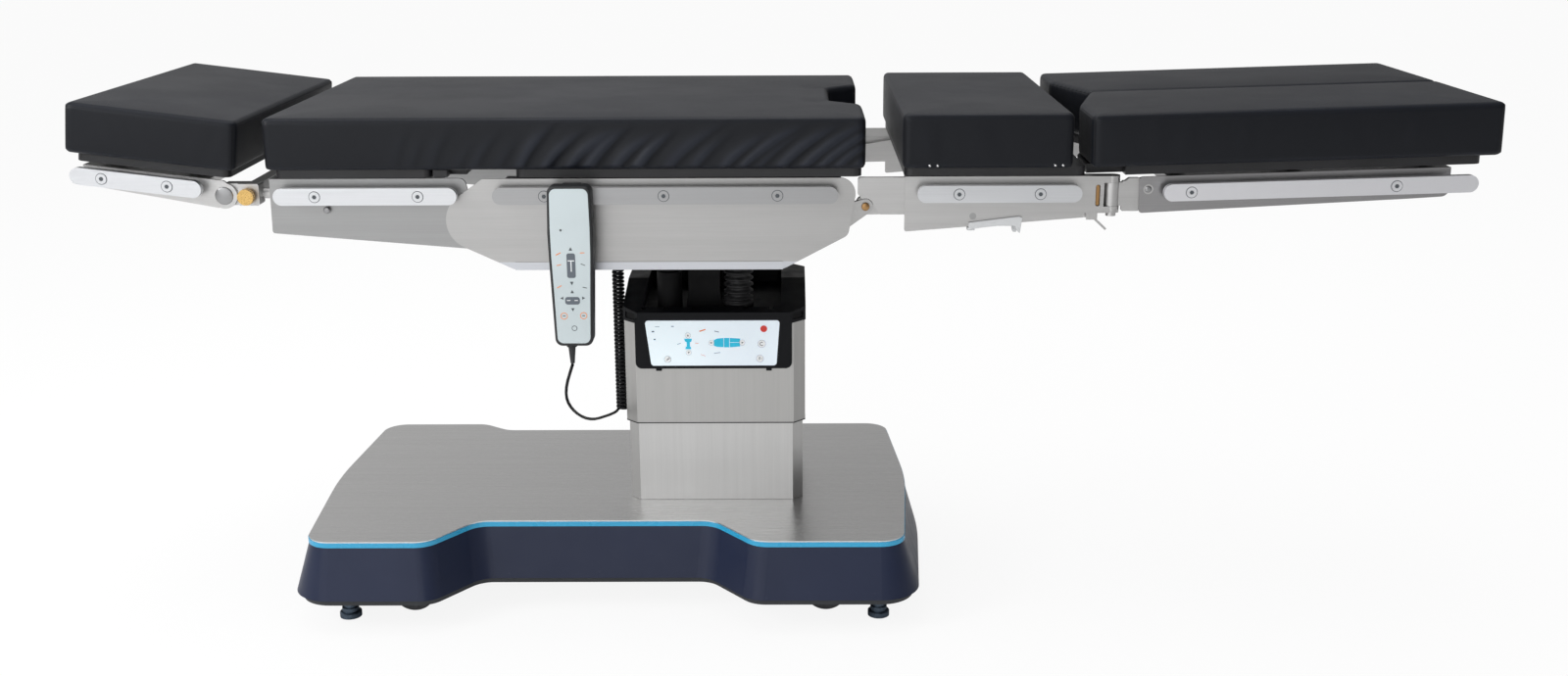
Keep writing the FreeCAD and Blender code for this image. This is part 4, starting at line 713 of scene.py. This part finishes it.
def block(name, outline, low, high):
    """Closed block of an outline with a softened rim, as an even mesh."""
    obj = flat_face(name, [(x, y, low) for x, y in outline])
    bpy.ops.object.mode_set(mode="EDIT")
    extrude_all((0, 0, high - low))
    round_rim(obj, high, TOP_RIM, 3)
    round_rim(obj, low, FOOT_RIM, 2)
    bpy.ops.object.mode_set(mode="OBJECT")
    remesh = obj.modifiers.new("even", "REMESH")
    remesh.mode = "VOXEL"
    remesh.voxel_size = PAD_CELL
    soften = obj.modifiers.new("soften", "SMOOTH")
    soften.factor = 0.4
    soften.iterations = 2
    apply_all(obj)
    return obj


def read_points(mesh, kind):
    values = np.empty(len(mesh.vertices) * 3)
    mesh.vertices.foreach_get(kind, values)
    return values.reshape(-1, 3)


def add_values(mesh, name, values):
    layer = mesh.attributes.new(name, "FLOAT", "POINT")
    layer.data.foreach_set("value", values.astype(np.float32))


def cushion(name, corners, low, high, body, replaced, creases, place=STILL):
    """Pad with a crowned top, sides that swell between seams, creases, and values for them."""
    low, high = low * MM, high * MM
    outline = rounded(corners)
    obj = block(name, outline, low, high - 0.001)
    mesh = obj.data
    co, normal = read_points(mesh, "co"), read_points(mesh, "normal")
    edge = distance_to(outline, co[:, :2])
    height = np.clip((co[:, 2] - low) / (high - low), 0, 1)
    up = np.clip(normal[:, 2], 0, 1)
    flat = np.clip(1 - np.abs(normal[:, 2]) * 1.3, 0, 1)
    wave = np.sin(co[:, 0] * 9.0 + 1.3) * np.cos(co[:, 1] * 11.0 + co[:, 0] * 4.0)
    rise = PAD_CROWN * MM * (1 - np.exp(-edge / PAD_REACH))
    rise += CROWN_WAVE * wave * np.clip(edge / PAD_REACH, 0, 1)
    co[:, 2] += up * rise
    swell = PAD_BELLY * MM * np.sin(np.pi * height) * flat
    hollow = 1 - np.exp(-corner_distance(corners, co[:, :2]) / PAD_REACH)
    shift = (swell * hollow)[:, None] * normal
    shift[:, 2] = 0
    co += shift
    slack = creases(co, normal, low, high)
    co += slack
    mesh.vertices.foreach_set("co", co.ravel())
    mesh.update()
    add_values(mesh, "drop", (high - co[:, 2]) * 1000)
    # side and fold also carry the painted shade on the side walls and the painted highlight on the
    # folds into the material
    add_values(mesh, "side", flat)
    add_values(mesh, "fold", np.sum(slack * normal, axis=1) * 1000)
    add_values(mesh, "corner", corner_distance(corners, co[:, :2]) * 1000)
    mesh.transform(place)
    mesh.shade_smooth()
    paint(obj, LEATHERETTE)
    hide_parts(*replaced)
    if body is not None:
        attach(obj, body)
    return obj


def corner_distance(corners, xy):
    best = np.full(len(xy), 1e9)
    for x, y, _ in corners:
        best = np.minimum(best, np.linalg.norm(xy - np.array([x, y]) * MM, axis=1))
    return np.maximum(best - 0.004, 0)


def ridge(distance, width):
    """Cross-section of a crease: a soft fold with a groove beside it."""
    t = distance / width
    return np.exp(-t * t) - 0.7 * np.exp(-(t - 1.6) ** 2)


# Where the long pad's folds stand along it, how far each leans by its place, in metres, and how
# tall it is, in millimetres
FOLDS = (-0.60, 0.10)
FOLD_LEAN = ((-0.57, -0.35, 0.10), (0.020, 0.062, 0.092))
FOLD_TALL = ((-0.57, -0.42, -0.30, 0.10), (0.6, 2.0, 4.6, 4.0))


def long_creases(co, normal, low, high):
    """Slack along both long sides: folds rise from the lower edge and lean to the leg end."""
    shift = np.zeros_like(co)
    x, y, z = co[:, 0], co[:, 1], co[:, 2]
    t = (z - low) / (high - low)
    rng = np.random.default_rng(7)
    for side in (-1, 1):
        total = np.zeros(len(co))
        foot, last = FOLDS
        while foot < last:
            foot += rng.uniform(0.024, 0.046)
            lean = np.interp(foot, *FOLD_LEAN) * rng.uniform(0.85, 1.15)
            tall = np.interp(foot, *FOLD_TALL) * rng.uniform(0.55, 1.2)
            across = x - foot - lean * t * (0.7 + 0.5 * t)
            steep, soft = rng.uniform(0.004, 0.006), rng.uniform(0.009, 0.014)
            width = np.where(across > 0, steep, soft) * (1 + t)
            reach = rng.uniform(0.7, 1.0)
            fade = np.clip(t / 0.08, 0, 1) * np.clip((reach - t) / 0.45, 0, 1)
            fold = np.exp(-(across / width) ** 2)
            groove = np.exp(-((across - 0.012) / 0.008) ** 2)
            total += tall * (fold - 0.35 * groove) * fade
        facing = np.clip(normal[:, 1] * side * 1.5, 0, 1) * (np.abs(y) > 0.235)
        shift[:, 1] += side * np.clip(total, -2.5, 5.6) * MM * facing
    return shift


FAINT_CREASE = 0.35


def faint_creases(seed):
    """A few weak folds for the smaller pads."""

    def shape(co, normal, low, high):
        rng = np.random.default_rng(seed)
        shift = np.zeros_like(co)
        t = (co[:, 2] - low) / (high - low)
        lowest, highest = co[:, 0].min(), co[:, 0].max()
        upright = 1 - np.clip(np.abs(normal[:, 2]) * 1.5, 0, 1)
        flat = np.clip(np.abs(normal[:, 1]), 0, 1) * upright
        total = np.zeros(len(co))
        for _ in range(int((highest - lowest) / 0.06)):
            foot = rng.uniform(lowest + 0.02, highest - 0.03)
            lean = rng.uniform(-0.03, 0.04)
            across = co[:, 0] - foot - lean * t
            total += FAINT_CREASE * ridge(across, rng.uniform(0.008, 0.016)) * np.sin(np.pi * t)
        shift[:, 1] = np.sign(normal[:, 1]) * total * MM * flat
        return shift

    return shape


def make_cushions():
    half, r = PAD_HALF, PAD_CORNER
    long_pad = [(-749.5, -half, r), (120, -half, r), (120, -118, 14), (72, -76, 26), (72, 76, 26),
                (120, 118, 14), (120, half, r), (-749.5, half, r)]
    pad = cushion("long_pad", long_pad, PAD_FOOT, LONG_PAD_TOP, None,
                  ["main_cushion", "fold_cushion", "back_cushion"], long_creases)
    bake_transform(pad)
    cushion("seat_pad", rectangle(173.5, 420, -half, half, r), PAD_FOOT, SEAT_PAD_TOP, "seat",
            ["seat_cushion"], faint_creases(3))
    cushion("head_pad", rectangle(-228.4, 17, -half, half, r), *HEAD_PAD, "head",
            ["head_cushion"], faint_creases(5), HEAD_PLACE)
    near = [(-84, -half, r), (506, -half, r), (506, -2, 6), (-44, -2, 4), (-84, -143, 20)]
    far = [(x, -y, radius) for x, y, radius in reversed(near)]
    for end, corners, seed in (("near", near, 11), ("far", far, 12)):
        cushion("leg_pad_" + end, corners, *LEG_PAD, "leg_" + end, ["leg_cushion_" + end],
                faint_creases(seed), LEG_PLACE)


make_cushions()


# Printed and small pieces, modelled flat and extruded towards the viewer


def flat_piece(name, shapes, back, front, material, body, slot, bevel=0.0, place=STILL):
    """Shapes in the XZ plane, in millimetres, extruded from back to front along -Y and joined."""
    made = []
    for points in shapes:
        obj = flat_face(name, [(x * MM, back * MM, z * MM) for x, z in points])
        bpy.ops.object.mode_set(mode="EDIT")
        extrude_all((0, (front - back) * MM, 0))
        bpy.ops.object.mode_set(mode="OBJECT")
        made.append(obj)
    for obj in made:
        obj.select_set(True)
    bpy.context.view_layer.objects.active = made[0]
    if len(made) > 1:
        bpy.ops.object.join()
    piece = bpy.context.object
    piece.name = name
    piece.data.name = name
    if bevel:
        rounding = piece.modifiers.new("rounding", "BEVEL")
        rounding.width = bevel * MM
        rounding.segments = 2
        rounding.limit_method = "ANGLE"
        apply_all(piece)
    bpy.ops.object.select_all(action="DESELECT")
    piece.data.transform(place)
    paint(piece, material)
    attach(piece, body)
    return piece


def disc(x, z, radius, count=32):
    turns = [math.tau * i / count for i in range(count)]
    return [(x + radius * math.cos(a), z + radius * math.sin(a)) for a in turns]


def arrow(x, z, size, degrees):
    """Small triangle that points along the given direction."""
    cos, sin = math.cos(math.radians(degrees)), math.sin(math.radians(degrees))
    corners = [(size, 0), (-size * 0.6, size * 0.8), (-size * 0.6, -size * 0.8)]
    return [(x + a * cos - b * sin, z + a * sin + b * cos) for a, b in corners]


def stroke(x0, z0, x1, z1, width):
    """Thin straight mark."""
    along = Vector((x1 - x0, z1 - z0)).normalized()
    across = Vector((-along.y, along.x)) * width / 2
    return [(x0 - across.x, z0 - across.y), (x1 - across.x, z1 - across.y),
            (x1 + across.x, z1 + across.y), (x0 + across.x, z0 + across.y)]


def arc_band(x, z, radius, width, start, end, count=20):
    """Part of a ring, in degrees."""
    turns = [math.radians(start + (end - start) * i / count) for i in range(count + 1)]

    def arc(reach):
        return [(x + reach * math.cos(a), z + reach * math.sin(a)) for a in turns]

    return arc(radius + width / 2) + arc(radius - width / 2)[::-1]


def ring(x, z, radius, width, count):
    """Ring as one outline, with a slit that doesn't show."""
    return arc_band(x, z, radius, width, 0, 358, count)


PANEL_FACE = -116.2
PRINT_DEPTH = 0.18


def make_panel_print():
    """Round keys, generic table pictograms and arrows on the membrane panel."""
    film = (PANEL_FACE, PANEL_FACE - PRINT_DEPTH)
    over = (PANEL_FACE - PRINT_DEPTH, PANEL_FACE - 0.3)

    def put(name, shapes, levels, ink, bevel=0.0):
        flat_piece(name, shapes, *levels, ink, "column", "panel_film", bevel)

    keys = [(-34.7, 413.7, 6.1), (-37.6, 389.4, 5.7), (-184, 388.6, 5.4)]
    small = [(-151.2, 427.8, 4.6), (-150.4, 399.6, 4.4), (-114.3, 415.6, 4.4),
             (-65.6, 415.8, 4.6)]
    put("panel_white_keys", [disc(*key) for key in keys + small], film, INK_WHITE)
    stop = (PANEL_FACE, PANEL_FACE - 0.6)
    put("panel_stop_key", [disc(-31.3, 438.4, 5.4)], stop, INK_RED, 0.2)
    rings = [ring(*key, 0.35, 40) for key in keys] + [ring(*key, 0.22, 36) for key in small]
    put("panel_key_rings", rings, over, INK_PALE)
    standing = [(-157, 422.4), (-156.4, 418.2), (-153.4, 416.6), (-153.4, 409.6),
                (-155.2, 408.6), (-155.6, 405.2), (-146.4, 405.2), (-146.6, 408.4),
                (-148.2, 409.6), (-148.2, 416.6), (-145.6, 418.2), (-145.0, 422.4)]
    lying_left = [(-110.3, 420.2), (-104.6, 422.6), (-95.0, 423.4), (-95.0, 408.2),
                  (-104.8, 408.8), (-110.3, 410.6)]
    lying_middle = [(-94.2, 423.4), (-85.9, 423.6), (-85.9, 408.0), (-94.2, 408.2)]
    lying_upper = [(-85.1, 423.5), (-68.3, 422.4), (-69.6, 416.4), (-85.1, 416.4)]
    lying_lower = [(-85.1, 415.7), (-69.8, 415.7), (-68.6, 409.6), (-85.1, 408.1)]
    tables = [standing, lying_left, lying_middle, lying_upper, lying_lower]
    put("panel_table_pictograms", tables, film, INK_CYAN)
    marks = [
        arrow(-151.2, 427.6, 1.9, 90), arrow(-150.4, 399.8, 1.9, -90),
        arrow(-114.6, 415.6, 1.9, 180), arrow(-65.3, 415.8, 1.9, 0),
        arc_band(-34.7, 413.7, 2.7, 0.9, 50, 310), stroke(-39.6, 390.8, -37.0, 391.0, 1.6),
        stroke(-39.4, 388.0, -37.4, 388.6, 1.2), stroke(-35.6, 389.2, -34.4, 389.2, 1.2),
        stroke(-185.4, 386.8, -182.6, 390.0, 1.3),
        arc_band(-182.2, 390.4, 1.3, 0.8, -130, 130, 10),
    ]
    put("panel_key_marks", marks, over, INK_GREY_AND_PAINTED_SHADE)
    slants = [stroke(-133.0, 434.4, -123.2, 437.6, 1.9), stroke(-140.2, 415.4, -134.6, 414.4, 0.8),
              stroke(-131.6, 396.6, -124, 393.8, 0.6)]
    put("panel_orange_marks", slants, film, INK_ORANGE)
    faint = [
        stroke(-109.4, 434.8, -102.0, 433.2, 1.1), stroke(-168.4, 413.4, -162.6, 414.8, 0.7),
        stroke(-110.2, 398.4, -100.0, 399.6, 0.8), stroke(-202.6, 442.2, -195.6, 442.2, 0.7),
        stroke(-177.4, 442.6, -173.0, 442.6, 1.2), stroke(-208.2, 434.2, -204.2, 434.2, 2.2),
        stroke(-205.4, 421.4, -202.2, 421.4, 2.0),
    ]
    put("panel_faint_marks", faint, film, INK_PALE)


make_panel_print()

HANDSET_FACE_Y = -298.5
HANDSET_MIDDLE = -305.5


def make_handset_face():
    """Light face plate in the rubber edge, with raised keys and generic direction marks."""
    x, face = HANDSET_MIDDLE, HANDSET_FACE_Y
    front = face - 0.7
    layer = (front, front - 0.25)

    def put(name, shapes, levels, ink, bevel=0.0):
        flat_piece(name, shapes, *levels, ink, "handset_unit", "handset_shell", bevel)

    def field(half, low, high, corner):
        return rounded_mm(rectangle(x - half, x + half, low, high, corner))

    left = [(27.5, 697, 9), (28.6, 640, 60), (28.2, 600, 60), (26.0, 540, 60), (23.8, 468, 9)]
    corners = [(x - away, z, r) for away, z, r in left]
    corners += [(x + away, z, r) for away, z, r in reversed(left)]
    put("control_face", [rounded_mm(corners)], (face + 0.5, front), HANDSET_FACE, 0.4)
    fields = [field(6.2, 566.5, 603, 3), field(10.8, 526.8, 538.2, 4)]
    put("control_key_field", fields, layer, INK_PALE)
    marks = [
        arrow(x, 609, 3.2, 90), arrow(x, 559, 3.2, -90), arrow(x, 545.7, 3.0, 90),
        arrow(x, 519.5, 3.0, -90), arrow(x - 15, 536.3, 2.8, 180), arrow(x + 15.8, 536.5, 2.8, 0),
        disc(x - 13.1, 637, 1.7, 16),
    ]
    put("control_arrows", marks, (front, front - 0.3), INK_GREY_AND_PAINTED_SHADE)
    lines = [stroke(x - 4.6, 592, x + 4.6, 592, 1.3), stroke(x, 591.5, x, 576, 1.3),
             stroke(x - 8, 533, x - 3, 533, 1.0), stroke(x + 3, 533, x + 8, 533, 1.0)]
    put("control_field_lines", lines, (front - 0.25, front - 0.45), INK_WHITE)
    orange = [
        stroke(x - 21.5, 600.4, x - 14.5, 604.0, 1.3), stroke(x + 13.5, 603.6, x + 20, 603.8, 1.1),
        stroke(x - 21, 585, x - 14.6, 586.4, 1.0), stroke(x - 21.6, 551.8, x - 15, 555.2, 1.2),
        ring(x - 13.1, 509.6, 4.7, 0.9, 28), ring(x + 15.3, 510, 4.7, 0.9, 28),
    ]
    put("control_orange_marks", orange, layer, INK_ORANGE)
    grey = [
        stroke(x + 14, 587.6, x + 20.4, 585, 1.0), stroke(x + 15.6, 552.8, x + 21.6, 551.4, 1.1),
        ring(x + 1.3, 491.1, 3.6, 0.8, 24), stroke(x - 15, 509.6, x - 11, 509.6, 1.2),
        stroke(x + 13.4, 510, x + 17.2, 510, 1.2),
    ]
    put("control_grey_marks", grey, layer, INK_GREY_AND_PAINTED_SHADE)


make_handset_face()


def turned(name, profile, centre, axis, material, body, steps=32, place=STILL):
    """Piece turned on a lathe: profile is (radius, along) in millimetres about an axis."""
    bpy.ops.object.select_all(action="DESELECT")
    bpy.ops.mesh.primitive_circle_add(vertices=len(profile), radius=1, fill_type="NOTHING")
    obj = bpy.context.object
    for vertex, (radius, along) in zip(obj.data.vertices, profile):
        vertex.co = (radius * MM, 0, along * MM)
    bpy.ops.object.mode_set(mode="EDIT")
    bm = bmesh.from_edit_mesh(obj.data)
    bm.edges.ensure_lookup_table()
    last = [e for e in bm.edges if {v.index for v in e.verts} == {0, len(profile) - 1}]
    bmesh.ops.delete(bm, geom=last, context="EDGES")
    bmesh.update_edit_mesh(obj.data)
    bpy.ops.mesh.select_all(action="SELECT")
    bpy.ops.mesh.spin(steps=steps, angle=math.tau, center=(0, 0, 0), axis=(0, 0, 1))
    bpy.ops.mesh.select_all(action="SELECT")
    bpy.ops.mesh.remove_doubles(threshold=0.00002)
    bpy.ops.mesh.normals_make_consistent(inside=False)
    bpy.ops.object.mode_set(mode="OBJECT")
    turn = Vector((0, 0, 1)).rotation_difference(Vector(axis)).to_matrix().to_4x4()
    obj.data.transform(place @ Matrix.Translation(Vector(centre) * MM) @ turn)
    obj.name = name
    obj.data.name = name
    obj.data.shade_smooth()
    bpy.ops.object.select_all(action="DESELECT")
    paint(obj, material)
    if body is not None:
        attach(obj, body)
    return obj


RAIL_FACE = 269.0
PLATE_FACE = 247.0
SIDES = ((-1, "near"), (1, "far"))


def make_rail_bolts():
    """Dark joint round each rail bolt and painted shade in the socket of its head, on both sides.
    """
    rails = [
        ("main", (-344.9, -172.1, -7.5), 680.5, "tabletop", STILL),
        ("back", (-677.1, -527.6), 680.5, "back", STILL),
        ("head", (-169.6, -75.5), 9.0, "head", HEAD_PLACE),
        ("seat", (255.2, 372.4), 681.5, "seat", STILL),
        ("leg", (58.0, 352.7), -2.5, "leg_{}", LEG_PLACE),
    ]
    for section, bolts, z, body, place in rails:
        rims = [ring(x, z, 8.0, 0.9, 36) for x in bolts]
        # The sockets are dark discs: painted shade in the hex recess
        socket_shades = [disc(x, z, 3.2, 6) for x in bolts]
        for side, end in SIDES:
            face = side * RAIL_FACE
            head = face + side * 0.8
            for kind, shapes, level, depth in (("rims", rims, face, 0.15),
                                               ("socket_shades", socket_shades, head, 0.12)):
                flat_piece("%s_bolt_%s_%s" % (section, kind, end), shapes, level,
                           level + side * depth, INK_GREY_AND_PAINTED_SHADE, body.format(end), "rail_steel",
                           place=place)


def make_small_metal():
    """Pivot covers, pin heads, bronze inserts, studs and cap screws."""
    cover = [(0, 1.4), (12.0, 1.4), (13.2, 0.6), (13.2, -0.2)]
    button = [(0, 1.8), (3.4, 1.7), (5.0, 0.8), (5.0, -0.2)]
    pin = [(0, 2.2), (4.6, 2.0), (6.0, 1.0), (6.0, 0)]
    stud = [(0, 1.8), (1.4, 1.5), (2.1, 0.6), (2.1, -1.5)]
    screw = [(0, 1.6), (2.6, 1.5), (3.8, 0.6), (3.8, 0)]
    for side, end in SIDES:
        out = (0, side, 0)
        face = side * PLATE_FACE
        turned("head_pivot_cover_" + end, cover, (0, face, 0), out, PIVOT_STEEL, "head",
               place=HEAD_PLACE)
        turned("leg_pivot_cover_" + end, button, (0, face, 0), out, PIVOT_STEEL, "leg_" + end,
               place=LEG_PLACE)
        turned("back_stop_button_" + end, button, (-667, face, 657), out, PIVOT_STEEL, "back")
        turned("seat_hinge_head_" + end, pin, (121, side * 243.5, 659), out, BRONZE, "tabletop")
        insert = rounded_mm(rectangle(456.6, 461.9, 659.6, 690.4, 2.6))
        flat_piece("bronze_insert_" + end, [insert], side * 241.0, side * 245.0, BRONZE, "seat",
                   "knob_gold", 0.6)
        for number, x in enumerate((212.5, 223.8, 393.4, 404.7)):
            turned("pad_stud_%s_%d" % (end, number), stud, (x, side * 260.2, 722), out, CHROME,
                   "seat", 16)
    for number, x in enumerate((-221, -186, -140, -60, -20)):
        turned("cap_screw_%d" % number, screw, (x, -100, 463.4), (0, 0, 1), CAP_BLACK, "column",
               20)


def make_column_wiper():
    """Dark strip at the lower edge of the moving column cover: a painted shadow line at the step
    between the covers.
    """
    middle, x, y, cut = -110.0, 144.3, 107.3, 18.52
    foot, thick, tall = 278.4, 2.0, 1.6
    corners = [(-x + cut, -y), (x - cut, -y), (x, -y + cut), (x, y - cut),
               (x - cut, y), (-x + cut, y), (-x, y - cut), (-x, -y + cut)]
    points = [((middle + a) * MM, b * MM, foot * MM) for a, b in corners]
    step_shadow = flat_face("column_step_painted_shadow", points)
    bpy.ops.object.mode_set(mode="EDIT")
    bpy.ops.mesh.select_all(action="SELECT")
    bpy.ops.mesh.inset(thickness=thick * MM)
    bpy.ops.mesh.delete(type="FACE")
    extrude_all((0, 0, tall * MM))
    bpy.ops.object.mode_set(mode="OBJECT")
    paint(step_shadow, PAINTED_STEP_SHADOW)
    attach(step_shadow, "column")


def make_fold_board():
    """Stiff board under the long pad at the back hinge, narrower beside the side plates."""
    wide, narrow = 0.246, 0.221
    x0, x1, x2 = -0.509, -0.487, -0.463
    foot, thick, edge = 0.7045, 0.012, 0.0015
    outline = [(x0, -wide), (x1, -wide), (x1, -narrow), (x2, -narrow),
               (x2, narrow), (x1, narrow), (x1, wide), (x0, wide)]
    board = flat_face("fold_board", [(x, y, foot) for x, y in outline])
    bpy.ops.object.mode_set(mode="EDIT")
    extrude_all((0, 0, thick))
    bpy.ops.mesh.bevel(offset=edge, segments=2, profile=0.5, affect="EDGES")
    bpy.ops.object.mode_set(mode="OBJECT")
    paint(board, PLATE_BLACK)
    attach(board, "back")


def make_ram_boot():
    """Bellows over the ram's rod, from its foot on the column to its top, as one fixed piece."""
    low, cuff, top, rings = 465.3, 6.0, 545.0, 7
    bore, valley, slope, peak, rim = 12.0, 16.5, 20.5, 23.6, 24.0
    fold = ((slope, 0.24), (peak, 0.42), (peak, 0.58), (slope, 0.76), (valley, 1.0))
    pitch = (top - low - cuff) / rings
    profile = [(bore, low), (rim, low), (rim, low + cuff), (valley, low + cuff)]
    for i in range(rings):
        for radius, share in fold:
            profile.append((radius, low + cuff + pitch * i + pitch * share))
    profile += [(bore, top), (bore, low)]
    boot = turned("ram_boot", profile, (-72, -60, 0), (0, 0, 1), BELLOWS, None,
                  40)
    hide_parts("ram_bellows")
    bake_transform(boot)


def make_lever_grip():
    """White grip of the seat section's release lever, wrapped under the side plate's edge."""
    grip = [(272, 636), (346, 645), (350, 643), (347, 620), (342, 624), (339, 631), (314, 631),
            (290, 628.5), (272, 625.5)]
    wrap = [(270, 628.2), (270, 624.0), (281, 624.0), (281, 628.2)]
    for side, end in SIDES:
        for kind, shape, back, front in (("grip", grip, 248.2, 251.2),
                                         ("wrap", wrap, 238.0, 249.0)):
            flat_piece("release_%s_%s" % (kind, end), [shape], side * back, side * front,
                       LEVER_WHITE, "seat_lever", "lever_white", 0.6)


make_rail_bolts()
make_lever_grip()
make_ram_boot()
make_small_metal()
make_column_wiper()
make_fold_board()


# Floor, backdrop and light


# The floor's grey, its glow, and how much of the glow the camera sees
FLOOR_GREY = 0.86
FLOOR_GLOW = 1.03
FLOOR_SHARE = 0.86


def make_stage():
    """White floor that the camera sees nearly free of shadow."""
    bpy.ops.mesh.primitive_plane_add(size=30, location=(0, 0, -0.0005))
    floor = bpy.context.object
    floor.name = "studio_floor"
    f = Finish("studio_floor", (FLOOR_GREY,) * 3, 0.9)
    share = f.node("ShaderNodeLightPath", output="Is Camera Ray") * FLOOR_SHARE
    glow = f.node("ShaderNodeEmission", None, {"Strength": FLOOR_GLOW})
    matt = Wire(f, f.shader.outputs[0])
    mix = f.node("ShaderNodeMixShader", None, {0: share, 1: matt, 2: glow})
    f.join(f.tree.nodes["Material Output"].inputs["Surface"], mix)
    paint(floor, f.material)


# Light from all round by kind of ray: its strength on the head side and on the leg side
WORLD_LEVELS = (
    ("fill", None, 0.72, 0.50),
    ("room", "Is Glossy Ray", 0.62, 0.10),
    ("white", "Is Camera Ray", 1.0, 1.0),
)


def make_world():
    """White for the camera, a dimmer room for reflections, and a soft fill for matt surfaces."""
    world = bpy.data.worlds.new("studio")
    bpy.context.scene.world = world
    world.use_nodes = True
    tree = world.node_tree
    tree.nodes.clear()
    path = tree.nodes.new("ShaderNodeLightPath")
    where = tree.nodes.new("ShaderNodeTexCoord")
    split = tree.nodes.new("ShaderNodeSeparateXYZ")
    tree.links.new(where.outputs["Generated"], split.inputs[0])
    last = None
    for name, ray, left, right in WORLD_LEVELS:
        level = tree.nodes.new("ShaderNodeBackground")
        level.name = name
        level.inputs["Color"].default_value = (1, 1, 1, 1)
        fall = tree.nodes.new("ShaderNodeMapRange")
        settings = {"From Min": -0.8, "From Max": 0.8, "To Min": left, "To Max": right}
        for setting, value in settings.items():
            fall.inputs[setting].default_value = value
        tree.links.new(split.outputs["X"], fall.inputs["Value"])
        tree.links.new(fall.outputs[0], level.inputs["Strength"])
        if last is None:
            last = level
            continue
        mix = tree.nodes.new("ShaderNodeMixShader")
        tree.links.new(path.outputs[ray], mix.inputs[0])
        tree.links.new(last.outputs[0], mix.inputs[1])
        tree.links.new(level.outputs[0], mix.inputs[2])
        last = mix
    output = tree.nodes.new("ShaderNodeOutputWorld")
    tree.links.new(last.outputs[0], output.inputs["Surface"])


def area_light(name, place, target, size, power, colour=(1, 1, 1)):
    data = bpy.data.lights.new(name, "AREA")
    data.shape = "RECTANGLE"
    data.size, data.size_y = size
    data.energy = power
    data.color = colour
    lamp = bpy.data.objects.new(name, data)
    lamp.location = place
    aim = Vector(target) - Vector(place)
    lamp.rotation_euler = aim.to_track_quat("-Z", "Y").to_euler()
    bpy.context.collection.objects.link(lamp)


make_stage()
make_world()
area_light("overhead", (-0.3, 0.3, 3.4), (0, 0, 0.7), (3.6, 1.6), 40)
area_light("front", (-1.6, -4.2, 1.6), (0, 0, 0.5), (4.2, 2.8), 40, (0.98, 0.99, 1.0))
area_light("front_left", (-2.6, -1.6, 2.0), (0.3, -0.26, 0.7), (0.9, 1.2), 36)
bpy.context.scene.view_settings.view_transform = "Standard"
